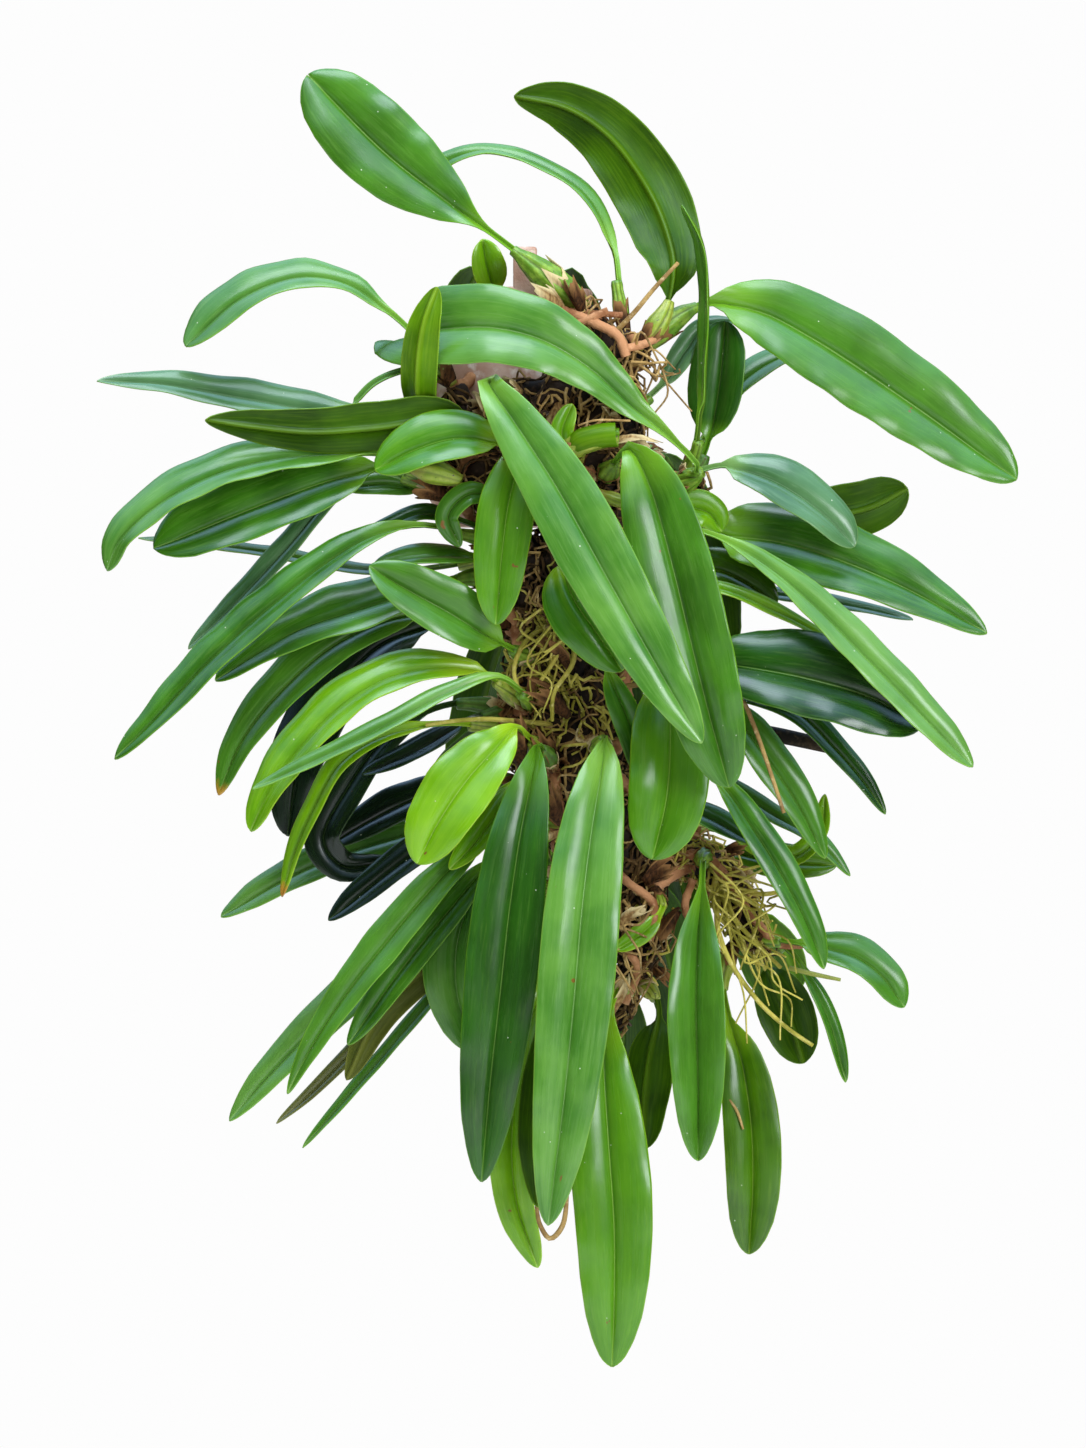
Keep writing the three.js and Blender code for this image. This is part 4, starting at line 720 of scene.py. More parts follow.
def lay_blade(one, name, materials, chance):
    """The petiole and blade of one leaf, from the top of its pseudobulb to its tip."""
    course, length, stem, bulb, petiole, _ = leaf_plan(one)
    start = stem + bulb * 0.86
    open_from = stem + bulb + petiole
    along = start + (length - start) * ROWS
    open_share = np.clip((along - open_from) / (length - open_from), 0, 1)
    half_full = one["width"] / 2
    slender, blunt = one["slender"], one["blunt"]
    warped = open_share ** one["belly"]
    outline = (slender * np.interp(warped, OUTLINE_ALONG, SLENDER_HALF)
               + (1 - slender) * np.interp(warped, OUTLINE_ALONG, SUDDEN_HALF))
    pointed = np.clip(2 - warped * 2, 0, 1) ** 0.8
    outline = np.minimum(outline, blunt * outline + (1 - blunt) * pointed)
    half = np.maximum(half_full * outline, PETIOLE_HALF * (1 - ease(0.9, 1, open_share)))
    half = np.where(open_share <= 0, PETIOLE_HALF, half)
    share = COLUMNS[None, :]
    side = np.abs(share)
    cleft = one["notch"] * (1 - side) ** 2 * ease(0.86, 1, open_share)[:, None]
    centre, right, up = ride_along(course, length, along[:, None] - cleft, one["face"])
    opening = ease(0, 0.08 + 0.16 * slender, open_share)[:, None]
    fold = one["fold"] + (1.5 - one["fold"]) * (1 - opening)
    narrow = 1 / np.sqrt(1 + fold ** 2)
    across = half[:, None] * share * narrow
    bulge = 0.1 + 0.06 * chance.random()
    height = half[:, None] * (side * fold * narrow + bulge * opening * side * (1 - side) * 2.2
                              - 0.1 * opening * side ** 3)
    height -= 1.3 * np.exp(-(across / 1.1) ** 2) * opening * (1 - ease(0.85, 1, open_share))[:, None]
    beat = [chance.uniform(28, 46), chance.uniform(24, 40)]
    phase = [chance.uniform(0, 7), chance.uniform(0, 7)]
    left_wave = np.sin(along / beat[0] * 2 * math.pi + phase[0])[:, None]
    right_wave = np.sin(along / beat[1] * 2 * math.pi + phase[1])[:, None]
    height += (one["wave"] * one["width"] * opening * side ** 2.2
               * np.where(share < 0, left_wave, right_wave))
    spots = (centre + right * across[..., None] + up * height[..., None]).reshape(-1, 3)
    whole = np.ones_like(side)
    values = {
        "vein_mm": (share * half_full * np.ones((len(ROWS), 1))).ravel(),
        "across_mm": (share * half[:, None]).ravel(),
        "edge_mm": ((1 - side) * half[:, None]).ravel(),
        "along_mm": (along[:, None] * whole).ravel(),
        "tip_mm": ((length - along)[:, None] * whole).ravel(),
        "young": (1 - ease(0, 0.3, open_share)[:, None] * whole).ravel(),
        "spread": ((half / half_full)[:, None] * whole).ravel(),
        "chance": chance.random(),
        "dry": one["dry"],
    }
    made = copy_of(blade_template, name, spots, materials, values)
    apply_modifier(made, "SOLIDIFY", thickness=0.85 * MM, offset=0, vertex_group="fullness",
                   thickness_vertex_group=0.3, material_offset=1, material_offset_rim=0)
    return made


def lay_bulb(one, name, material, chance):
    """The stem and ridged pseudobulb of one leaf."""
    course, length, stem, bulb, _, girth = leaf_plan(one)
    share = (bulb_shape[:, 2] + 1) / 2
    turn = np.arctan2(bulb_shape[:, 1], bulb_shape[:, 0])
    along = (stem + bulb) * share
    in_bulb = np.clip((along - stem * 0.6) / (stem * 0.4 + bulb), 0, 1)
    swell = np.interp(in_bulb, [0, 0.12, 0.3, 0.5, 0.75, 0.92, 1],
                      [2.4, 0.72 * girth, girth, 0.98 * girth, 0.74 * girth, 3.0, 2.6])
    ridges = chance.choice([6, 7, 8])
    depth = 0.26 * ease(0.05, 0.3, in_bulb) * (1 - ease(0.8, 1, in_bulb))
    crest = np.abs(np.sin(turn * ridges / 2))
    swell = swell * (1 + depth * (crest ** 0.6 - 0.7))
    swell = np.where(np.hypot(bulb_shape[:, 0], bulb_shape[:, 1]) < 1e-4, 0, swell)
    centre, right, up = ride_along(course, length, along, one["face"])
    spots = (centre + right * (np.cos(turn) * swell)[:, None] + up * (np.sin(turn) * swell)[:, None])
    values = {"along_mm": along, "top": in_bulb, "chance": chance.random(),
              "groove": 1 - crest}
    return copy_of(bulb_template, name, spots, material, values)


def wrap_sheath(course, length, start, end, low, high, name, material, chance, around=0.93):
    """A torn papery sheath round a course from start to end, radius low at its foot, high at its lip."""
    share, rise = np.meshgrid(SHEATH_ACROSS, SHEATH_UP)
    phase = chance.uniform(0, 6.3)
    tear = 1 - 0.32 * np.abs(np.sin(share * 5.1 + phase)) - 0.25 * np.abs(share) ** 3
    tear += 0.1 * np.sin(share * 23 + phase)
    along = start + (end - start) * rise * tear
    turn = share * math.pi * around + phase
    swell = low + (high - low) * rise + 0.35 * np.sin(turn * 5 + phase) * rise
    centre, right, up = ride_along(course, length, along.ravel(), (0.1, -0.9, 0.3))
    spots = (centre + right * (np.cos(turn) * swell).ravel()[:, None]
             + up * (np.sin(turn) * swell).ravel()[:, None])
    values = {"rise": rise.ravel(), "chance": chance.random()}
    made = copy_of(sheath_template, name, spots, material, values)
    apply_modifier(made, "SOLIDIFY", thickness=0.35 * MM, offset=1)
    return made

# %% [markdown]
# ## What things are made of
# All colour comes from procedural nodes with sizes in real millimetres. A leaf's upper skin is
# cuticle over green tissue: fine parallel veins, a pale line along the midrib, a thin
# yellow-green margin, a few white lime specks and brown scars, and a tip that dries to tan. Each
# blade carries how far a point is from its midrib, margin and tip, and the skin reads those.

# %% Shader helpers
def new_material(name, **look):
    """An empty material and its Principled shader, with constants set on the shader itself."""
    made = bpy.data.materials.new(name)
    made.use_nodes = True
    tree = made.node_tree
    tree.nodes.clear()
    surface = add(tree, "BsdfPrincipled", {key.replace("_", " "): v for key, v in look.items()})
    add(tree, "OutputMaterial", {"Surface": surface.outputs[0]})
    return made, tree, surface


def stored(tree, key):
    """A value stored on the mesh."""
    return add(tree, "Attribute", attribute_name=key).outputs["Fac"]


def math_node(tree, operation, *values, clamp=False):
    """A sum, product or other bit of arithmetic."""
    return add(tree, "Math", dict(enumerate(values)), operation=operation, use_clamp=clamp).outputs[0]


def ramp(tree, value, low, high, start=0.0, end=1.0):
    """A smooth step: start below low, end above high."""
    return add(tree, "MapRange", {0: value, 1: low, 2: high, 3: start, 4: end},
               interpolation_type="SMOOTHSTEP").outputs[0]


def mix(tree, share, first, second, blend="MIX"):
    """Two colours mixed by a share."""
    first, second = [linear(c) if isinstance(c, str) else c for c in (first, second)]
    return add(tree, "Mix", {0: share, 6: first, 7: second}, data_type="RGBA",
               blend_type=blend).outputs[2]


def in_mm(tree):
    """Object coordinates in millimetres."""
    spot = add(tree, "TexCoord").outputs["Object"]
    return add(tree, "VectorMath", {0: spot, "Scale": 1000.0}, operation="SCALE").outputs[0]


def speckle(tree, spot, size_mm, detail=3.0, rough=0.55):
    """Noise whose lumps are about size_mm across."""
    return add(tree, "TexNoise", {"Vector": spot, "Scale": 1 / size_mm, "Detail": detail,
                                  "Roughness": rough}).outputs["Fac"]


def dents(tree, surface, height, deep_mm):
    """Relief from a height of 0 to 1, deep_mm deep."""
    bump = add(tree, "Bump", {"Height": height, "Distance": deep_mm * MM, "Strength": 1.0})
    tree.links.new(bump.outputs[0], surface.inputs["Normal"])


def lay_along(tree):
    """Leaf coordinates in millimetres: across by vein, along, and a different slice for each leaf."""
    return add(tree, "CombineXYZ", {
        "X": stored(tree, "vein_mm"), "Y": stored(tree, "along_mm"),
        "Z": math_node(tree, "MULTIPLY", stored(tree, "chance"), 900.0)}).outputs[0]


# %% [markdown]
# The upper skin. Veins run lengthwise and are about a millimetre apart, so noise stretched along
# the leaf draws them. A waxy cuticle is smooth but not polished, so that light boxes smear into
# broad pale streaks.

# %% Leaf skins
def leaf_upper(name, shade, body, bright, young, rib):
    """The upper skin of a strap leaf, from shaded green to sunlit green."""
    made, tree, surface = new_material(name, Specular_IOR_Level=0.5)
    lay, chance = lay_along(tree), stored(tree, "chance")
    stretched = add(tree, "VectorMath", {0: lay, 1: (1.0, 0.06, 1.0)}, operation="MULTIPLY").outputs[0]
    streaks = speckle(tree, stretched, 3.2, 4)
    veins = speckle(tree, stretched, 0.9, 2)
    clouds = speckle(tree, lay, 34, 3)
    green = mix(tree, ramp(tree, clouds, 0.32, 0.7), shade, body)
    green = mix(tree, ramp(tree, streaks, 0.42, 0.75, 0, 0.25), green, bright)
    green = mix(tree, ramp(tree, veins, 0.5, 0.72, 0, 0.08), green, rib)
    green = mix(tree, ramp(tree, chance, 0.3, 1.0, 0, 0.3), green, bright)
    green = mix(tree, ramp(tree, stored(tree, "young"), 0.2, 1.0, 0, 0.75), green, young)
    middle_mm = math_node(tree, "ABSOLUTE", stored(tree, "across_mm"))
    green = mix(tree, ramp(tree, middle_mm, 0.2, 0.9, 0.4, 0), green, rib)
    green = mix(tree, ramp(tree, stored(tree, "edge_mm"), 0.15, 0.8, 0.6, 0), green, young)
    spots = add(tree, "TexVoronoi", {"Vector": lay, "Scale": 1 / 7.0})
    drawn = ramp(tree, add(tree, "SeparateColor", {0: spots.outputs["Color"]}).outputs[0], 0.62, 0.64)
    fleck = math_node(tree, "MULTIPLY", drawn, ramp(tree, spots.outputs["Distance"], 0.035, 0.06, 1, 0))
    green = mix(tree, math_node(tree, "MULTIPLY", fleck, 0.75), green, "dfe8cf")
    scar = math_node(tree, "MULTIPLY", ramp(tree, speckle(tree, lay, 9, 2), 0.755, 0.775),
                     ramp(tree, chance, 0.35, 0.4))
    green = mix(tree, scar, green, "7a5426")
    fringe = math_node(tree, "ADD", math_node(tree, "ADD", stored(tree, "tip_mm"), 16.0),
                       math_node(tree, "MULTIPLY", speckle(tree, lay, 6, 2), -9.0))
    withered = math_node(tree, "SUBTRACT", math_node(tree, "MULTIPLY", stored(tree, "dry"), 40.0), fringe)
    green = mix(tree, ramp(tree, withered, -9, -2), green, "b88a2c")
    green = mix(tree, ramp(tree, withered, -3, 3), green, "9a5f28")
    tree.links.new(green, surface.inputs["Base Color"])
    wax = math_node(tree, "ADD", ramp(tree, speckle(tree, stretched, 5, 3), 0.3, 0.75, 0.22, 0.34),
                    math_node(tree, "MULTIPLY", fleck, 0.3))
    tree.links.new(wax, surface.inputs["Roughness"])
    relief = math_node(tree, "ADD", math_node(tree, "MULTIPLY", veins, 0.12),
                       math_node(tree, "ADD", math_node(tree, "MULTIPLY", streaks, 0.5),
                                 speckle(tree, lay, 14, 2)))
    dents(tree, surface, math_node(tree, "MULTIPLY", relief, stored(tree, "spread")), 0.14)
    return made


def leaf_under(name, shade, body, rib):
    """The underside: paler and duller, with a raised midrib and clearer veins."""
    made, tree, surface = new_material(name, Roughness=0.38, Specular_IOR_Level=0.16)
    lay = lay_along(tree)
    stretched = add(tree, "VectorMath", {0: lay, 1: (1.0, 0.05, 1.0)}, operation="MULTIPLY").outputs[0]
    veins = speckle(tree, stretched, 1.1, 2)
    green = mix(tree, ramp(tree, speckle(tree, lay, 30, 3), 0.3, 0.7), shade, body)
    green = mix(tree, ramp(tree, veins, 0.42, 0.7, 0, 0.16), green, rib)
    middle_mm = math_node(tree, "ABSOLUTE", stored(tree, "across_mm"))
    green = mix(tree, ramp(tree, middle_mm, 0.5, 1.8, 0.35, 0), green, rib)
    green = mix(tree, ramp(tree, stored(tree, "edge_mm"), 0.15, 0.8, 0.5, 0), green, rib)
    withered = math_node(tree, "SUBTRACT", math_node(tree, "MULTIPLY", stored(tree, "dry"), 38.0),
                         math_node(tree, "ADD", stored(tree, "tip_mm"), 8.0))
    green = mix(tree, ramp(tree, withered, -5, 1), green, "a9742e")
    tree.links.new(green, surface.inputs["Base Color"])
    ridge = ramp(tree, middle_mm, 0.2, 2.0, 1, 0)
    fine = math_node(tree, "MULTIPLY", math_node(tree, "MULTIPLY", veins, 0.25), stored(tree, "spread"))
    dents(tree, surface, math_node(tree, "ADD", fine, ridge), 0.6)
    return made


LEAF_SKINS = {
    "deep": [leaf_upper("cuticle_deep", "103206", "1e4c0a", "387018", "5c9018", "8cb850"),
             leaf_under("underside_deep", "1e3a02", "2e5202", "648820")],
    "mid": [leaf_upper("cuticle_mid", "265608", "3c7614", "5e962c", "74a824", "a0c868"),
            leaf_under("underside_mid", "284802", "3a6202", "749824")],
    "light": [leaf_upper("cuticle_light", "3c741e", "588e30", "78a84c", "84b43c", "a4cc80"),
              leaf_under("underside_light", "406a04", "568808", "8cb038")],
    "fresh": [leaf_upper("cuticle_fresh", "34700a", "4a8810", "6ca020", "8cb824", "b0d860"),
              leaf_under("underside_fresh", "426c02", "5c8a04", "90b02c")],
    "bright": [leaf_upper("cuticle_bright", "528c06", "72aa06", "90c01c", "a4c828", "c4e078"),
               leaf_under("underside_bright", "4c7802", "669606", "98bc38")],
    "grey": [leaf_upper("cuticle_grey", "345e30", "4e7a48", "6c9868", "7ca458", "a8c8a0"),
             leaf_under("underside_grey", "385828", "507038", "84a464")],
    # The shade tone is painted shade: near-black greens for leaves that hang in shadow behind the others.
    "shade": [leaf_upper("cuticle_painted_shade", "08140a", "0e220e", "1a3416", "304c18", "506c38"),
              leaf_under("underside_painted_shade", "142406", "1e3208", "3c581c")],
    "dull": [leaf_upper("cuticle_dull", "54562a", "666a34", "7c8048", "8c9048", "a4a46c"),
             leaf_under("underside_dull", "444c14", "565e22", "7c8034")],
    "olive": [leaf_upper("cuticle_olive", "2e5402", "406e02", "5c8a0c", "7ca41c", "98b844"),
              leaf_under("underside_olive", "244202", "365c00", "688c14")],
}

# %% [markdown]
# The pseudobulb is green, smooth between its ridges and yellower at the foot. The sheath round it
# was a green bract once. It has dried to brown paper with darker veins and a pale torn lip.

# %% Pseudobulb and sheath
def bulb_skin(name, foot, body, crest):
    """Green flesh, with painted shade darkening the grooves between its ridges."""
    made, tree, surface = new_material(name, Roughness=0.4)
    spot = in_mm(tree)
    green = mix(tree, ramp(tree, speckle(tree, spot, 6, 3), 0.35, 0.7), body, crest)
    # Painted shade: the grooves between the ridges are darkened towards dark olive.
    green = mix(tree, ramp(tree, stored(tree, "groove"), 0.35, 0.95, 0, 0.7), green, "4a5a10")
    green = mix(tree, ramp(tree, stored(tree, "top"), 0.02, 0.4, 0.8, 0), green, foot)
    green = mix(tree, ramp(tree, speckle(tree, spot, 1.6, 2), 0.68, 0.72), green, "4a3a1c")
    tree.links.new(green, surface.inputs["Base Color"])
    dents(tree, surface, speckle(tree, spot, 1.5, 3), 0.2)
    return made


def paper_skin(name, dark, body, lip):
    """Dry bract paper, streaked lengthwise, paler at its torn lip."""
    made, tree, surface = new_material(name, Roughness=0.8, Specular_IOR_Level=0.2)
    spot = in_mm(tree)
    streaks = speckle(tree, add(tree, "VectorMath", {0: spot, 1: (1.0, 1.0, 0.22)},
                                operation="MULTIPLY").outputs[0], 1.1, 4)
    brown = mix(tree, ramp(tree, streaks, 0.35, 0.66), dark, body)
    brown = mix(tree, ramp(tree, stored(tree, "rise"), 0.55, 1.0, 0, 0.85), brown, lip)
    brown = mix(tree, ramp(tree, speckle(tree, spot, 4, 2), 0.6, 0.75, 0, 0.6), brown, dark)
    tree.links.new(brown, surface.inputs["Base Color"])
    dents(tree, surface, streaks, 0.4)
    return made


BULB = {"green": bulb_skin("pseudobulb_green", "8a8a34", "5d8a1c", "8fb23a"),
        "deep": bulb_skin("pseudobulb_deep", "6a6a2c", "3f6a18", "6c9434"),
        "yellow": bulb_skin("pseudobulb_yellow", "9a8a3c", "86a028", "b4bc50")}
PAPER = {"brown": paper_skin("dry_bract_brown", "2c1a0c", "5e3c20", "946c40"),
         "pale": paper_skin("dry_bract_pale", "7a5a34", "b0905c", "dccb98")}


def root_skin(name, dark, body, tip):
    """Root skin: corky velamen, with darker dead stretches."""
    made, tree, surface = new_material(name, Roughness=0.75, Specular_IOR_Level=0.25)
    spot = in_mm(tree)
    colour = mix(tree, ramp(tree, speckle(tree, spot, 18, 3), 0.38, 0.62), dark, body)
    colour = mix(tree, ramp(tree, speckle(tree, spot, 2.5, 3), 0.5, 0.8, 0, 0.7), colour, tip)
    tree.links.new(colour, surface.inputs["Base Color"])
    dents(tree, surface, speckle(tree, spot, 0.9, 3), 0.3)
    return made


ROOT = {"brown": root_skin("root_brown", "2c1e10", "58401f", "8a6c40"),
        "tan": root_skin("root_tan", "86683c", "b6965a", "dfca98"),
        "green": root_skin("root_live", "9a9436", "ccc058", "e6da90"),
        "rhizome": root_skin("rhizome_bark", "8a5836", "c08a60", "dcab80"),
        "core": root_skin("root_core", "160f0a", "32241a", "564030"),
        "twig": root_skin("twig_bark", "1e1710", "3a2c1e", "5c4a36")}


def clay_skin():
    """Unglazed clay, pinkish where dry, with lime bloom and grime from watering."""
    made, tree, surface = new_material("unglazed_clay", Roughness=0.85, Specular_IOR_Level=0.3)
    spot = in_mm(tree)
    clay = mix(tree, ramp(tree, speckle(tree, spot, 22, 4), 0.35, 0.68), "b58a76", "d6b9a8")
    clay = mix(tree, ramp(tree, speckle(tree, spot, 9, 5), 0.52, 0.7, 0, 0.8), clay, "e9ddd2")
    clay = mix(tree, ramp(tree, speckle(tree, spot, 13, 3), 0.6, 0.74, 0, 0.7), clay, "7c7264")
    tree.links.new(clay, surface.inputs["Base Color"])
    dents(tree, surface, speckle(tree, spot, 1.2, 4), 0.35)
    return made


CLAY = clay_skin()
BARK = root_skin("pine_bark", "2a1a10", "5a3a24", "80583a")
print("materials:", len(bpy.data.materials))

# %% [markdown]
# ## The leaves grow
# Each branch becomes one piece: its blades, pseudobulbs and bract paper. The piece stands for the
# branch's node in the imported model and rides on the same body.

# %% Leaves in place
chance = random.Random(41)
BULB_TONES = {"deep": "deep", "shade": "deep", "bright": "yellow", "fresh": "yellow",
              "olive": "yellow", "dull": "yellow"}
NEAREST_FINISH = {"shade": "deep", "fresh": "mid", "dull": "olive"}


def place(piece, slot, *nodes):
    """Ties a piece to the frame: its body, and the nodes that it stands for, which are hidden. slot, its
    finish, is not used.
    """
    if nodes:
        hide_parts(*nodes)
    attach(piece, "root")
    return piece


for node, leaves in BRANCHES_OF_LEAVES.items():
    parts = []
    for number, one in enumerate(leaves):
        name = f"{node}_{number}"
        parts.append(lay_blade(one, name, LEAF_SKINS[one["tone"]], chance))
        parts.append(lay_bulb(one, name + "_bulb", BULB[BULB_TONES.get(one["tone"], "green")],
                              chance))
        course, length, stem, bulb, _, girth = leaf_plan(one)
        parts.append(wrap_sheath(course, length, stem * 0.3, stem + bulb * chance.uniform(0.4, 0.75),
                                 3.2, girth + 0.7, name + "_paper",
                                 PAPER[chance.choice(["brown", "brown", "pale"])], chance))
    tone = leaves[0]["tone"]
    place(join(node + "_grown", parts), "leaf_" + NEAREST_FINISH.get(tone, tone), node)
print("branches grown:", len(BRANCHES_OF_LEAVES))

# %% [markdown]
# ## The root mass
# Years of old rhizomes, dead roots and bract paper have matted into hanging trunks. The model
# follows how it grew. First come thick cores along the branches, fused and roughened. Then
# hundreds of roots creep over that surface, each feeling its way from point to point.

# %% Cores
BRANCHES = [
    [(40, -54, -30, 6), (44, -53, -44, 14), (48, -50, -66, 20), (48, -48, -95, 23), (42, -44, -125, 25),
     (36, -34, -158, 29), (30, -22, -192, 33), (28, -14, -226, 35), (32, -12, -258, 35),
     (44, -10, -288, 33), (58, -8, -318, 29), (66, -6, -346, 22), (60, -6, -372, 13), (52, -6, -399, 5)],
    [(44, -50, -104, 16), (16, -58, -108, 14), (-8, -60, -112, 12), (-24, -54, -118, 9),
     (-38, -42, -110, 5)],
    [(44, -54, -70, 12), (20, -64, -74, 9), (0, -66, -80, 8), (-8, -62, -98, 9), (-8, -60, -112, 10)],
    [(-24, -54, -118, 6), (-27, -58, -92, 6.5), (-26, -59, -70, 6)],
    [(-8, -60, -114, 12), (-3, -48, -138, 12), (4, -38, -156, 14), (16, -28, -184, 16)],
    [(46, -50, -50, 9), (60, -48, -52, 10), (68, -48, -56, 7)],
    [(52, -46, -112, 14), (70, -40, -120, 11), (84, -33, -120, 8), (93, -28, -116, 5)],
    [(58, -8, -312, 20), (80, -8, -306, 14), (98, -8, -308, 11), (112, -8, -324, 12),
     (120, -8, -342, 12), (130, -8, -354, 7)],
]
TWIG = [(56, -14, -232, 5), (100, -6, -240, 4.5), (134, -2, -245, 4.2), (166, 2, -252, 3.6)]
TRUNK = [(10, -8, -44, 5), (19, -20, -26, 3), (25, -31, -20, 2.6), (32, -44, -27, 3), (43, -54, -42, 8)]


def strands(name, lines, material, sides=1):
    """A bundle of round strands as one mesh. Each line is a list of (x, y, z, radius)."""
    curve = bpy.data.curves.new(name, "CURVE")
    curve.dimensions = "3D"
    curve.bevel_depth = 1 * MM
    curve.bevel_resolution = sides
    curve.use_fill_caps = True
    for line in lines:
        spline = curve.splines.new("POLY")
        spline.points.add(len(line) - 1)
        for point, (x, y, z, radius) in zip(spline.points, line):
            point.co = (x * MM, y * MM, z * MM, 1)
            point.radius = radius
    made = bpy.data.objects.new(name, curve)
    bpy.context.scene.collection.objects.link(made)
    bpy.ops.object.select_all(action="DESELECT")
    made.select_set(True)
    bpy.context.view_layer.objects.active = made
    bpy.ops.object.convert(target="MESH")
    made = bpy.context.object
    made.data.materials.clear()
    made.data.materials.append(material)
    made.data.shade_smooth()
    made.select_set(False)
    return made


def smooth_line(points, step):
    """A course through points of (x, y, z, radius), sampled about every step millimetres."""
    course, length = smooth_course([p[:3] for p in points], 80)
    count = max(4, round(length / step) + 1)
    pick = np.linspace(0, len(course) - 1, count)
    known = np.linspace(0, len(course) - 1, len(points))
    middle = np.stack([np.interp(pick, np.arange(len(course)), course[:, i]) for i in range(3)], axis=1)
    return [(*m, r) for m, r in zip(middle, np.interp(pick, known, [p[3] for p in points]))]


def core_share(z):
    """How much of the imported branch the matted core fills: less near its open lower end."""
    return float(np.interp(z, [-400, -345, -300, -260], [0.45, 0.55, 0.72, 0.84]))


core = strands("root_core", [[(x, y, z, r * core_share(z)) for x, y, z, r in smooth_line(line, 7)]
                             for line in BRANCHES], ROOT["core"], 4)
apply_modifier(core, "REMESH", mode="VOXEL", voxel_size=2.6 * MM)
spots = np.array([v.co for v in core.data.vertices])
outward = np.array([v.normal for v in core.data.vertices])
rough = np.array([noise.noise(Vector(s / MM / 9)) * 3.2 + noise.noise(Vector(s / MM / 3.4)) * 1.6
                  for s in spots])
core.data.vertices.foreach_set("co", (spots + outward * rough[:, None] * MM).astype(np.float32).ravel())
core.data.update()
core.data.shade_smooth()
print("core faces:", len(core.data.polygons))

# %% [markdown]
# Roots creep. Each one starts somewhere on the core, keeps its heading with small turns, sags
# with gravity, and is pulled back to the surface at every step, lifting off and settling again
# every ten to twenty millimetres. Live ones are yellow-green, older ones tan, dead ones brown.

# %% Creeping roots
ROOT_STEP = 3.5
surface = BVHTree.FromObject(core, bpy.context.evaluated_depsgraph_get())
core_spots = np.array([v.co for v in core.data.vertices]) / MM
core_outward = np.array([v.normal for v in core.data.vertices])


def creeping_root(start, outward, length, radius, chance, loose):
    """One root's points as it creeps over the core from start."""
    heading = Vector((chance.uniform(-1, 1), chance.uniform(-1, 1), chance.uniform(-1.4, 0.5)))
    spot, line = Vector(start), []
    lift, beat = chance.uniform(0.3, loose), chance.uniform(9, 22)
    for step in range(int(length / ROOT_STEP)):
        heading -= heading.dot(outward) * outward
        heading.normalize()
        near, normal, _, _ = surface.find_nearest((spot + heading * ROOT_STEP) * MM)
        outward = normal
        gone = step * ROOT_STEP
        rise = radius * 0.7 + lift * (0.5 + 0.5 * math.sin(gone / beat * 2 * math.pi + lift))
        spot = near / MM
        line.append((*(spot + outward * rise), radius * (1 - 0.35 * gone / length)))
        heading += Vector((chance.gauss(0, 0.32), chance.gauss(0, 0.32), chance.gauss(-0.06, 0.32)))
    return line


def rooted(name, count, material, length, radius, loose, near=None, within=1e3):
    """Many creeping roots as one mesh, over the whole core or close to one place."""
    distance = np.linalg.norm(core_spots - (near or (0, 0, 0)), axis=1)
    choices = np.flatnonzero(distance < within)
    lines = []
    for _ in range(count):
        index = chance.choice(list(choices))
        lines.append(creeping_root(core_spots[index], Vector(core_outward[index]),
                                   chance.uniform(0.5, 1) * length, chance.uniform(0.7, 1.2) * radius,
                                   chance, loose))
    return strands(name, lines, material)


chance = random.Random(12)
mats = [
    rooted("roots_dead", 380, ROOT["brown"], 90, 0.85, 5),
    rooted("roots_old", 260, ROOT["tan"], 80, 0.75, 7),
    rooted("roots_live_middle", 46, ROOT["green"], 70, 0.85, 9, (14, -50, -212), 34),
    rooted("roots_live_low", 40, ROOT["green"], 60, 0.8, 8, (114, -16, -328), 40),
    rooted("roots_tan_top", 34, ROOT["tan"], 50, 0.8, 6, (48, -64, -50), 34),
]
print("root faces:", sum(len(m.data.polygons) for m in mats))

# %% [markdown]
# Live roots hang free of the mass where they reach for air, and a stem comes over the rim of the
# vase from the fill inside it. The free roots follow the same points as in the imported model.

# %% Free roots, trunk, rhizomes and twig
AERIAL_ROOTS = {
    "green": [
        [(22, -46, -188), (8, -58, -198), (2, -62, -212), (6, -62, -228)],
        [(26, -46, -190), (24, -60, -204), (14, -64, -220)],
        [(32, -44, -196), (31, -60, -210), (22, -63, -224), (21, -60, -238)],
        [(24, -36, -240), (14, -46, -239), (2, -54, -238), (-12, -58, -237), (-28, -58, -238),
         (-42, -54, -240)],
        [(108, -16, -320), (112, -32, -336), (124, -34, -350), (136, -30, -362)],
        [(106, -16, -322), (104, -32, -340), (110, -38, -358), (124, -38, -378), (139, -36, -392),
         (152, -34, -401)],
        [(112, -16, -322), (128, -28, -325), (143, -28, -322)],
    ],
    "tan": [
        [(50, -56, -46), (62, -64, -34), (72, -66, -22), (84, -64, -9)],
        [(36, -60, -38), (46, -66, -41), (56, -64, -46), (60, -58, -56)],
        [(44, -30, -224), (62, -44, -220), (94, -54, -218), (116, -60, -228), (121, -60, -238),
         (129, -59, -260), (137, -57, -284)],
    ],
}
free = []
for colour, lines in AERIAL_ROOTS.items():
    free.append(strands("free_roots_" + colour, [
        smooth_line([(*p, 1.5 - 0.5 * i / (len(line) - 1)) for i, p in enumerate(line)], 3)
        for line in lines], ROOT[colour], 2))


def ringed(points, radius):
    """A rhizome's line, with a ring like a swollen joint every nine millimetres."""
    line = smooth_line([(*p[:3], radius if len(p) < 4 else p[3]) for p in points], 1.5)
    return [(x, y, z, r * (1 + 0.16 * max(0, math.cos(i * 1.5 / 9 * 2 * math.pi)) ** 6))
            for i, (x, y, z, r) in enumerate(line)]


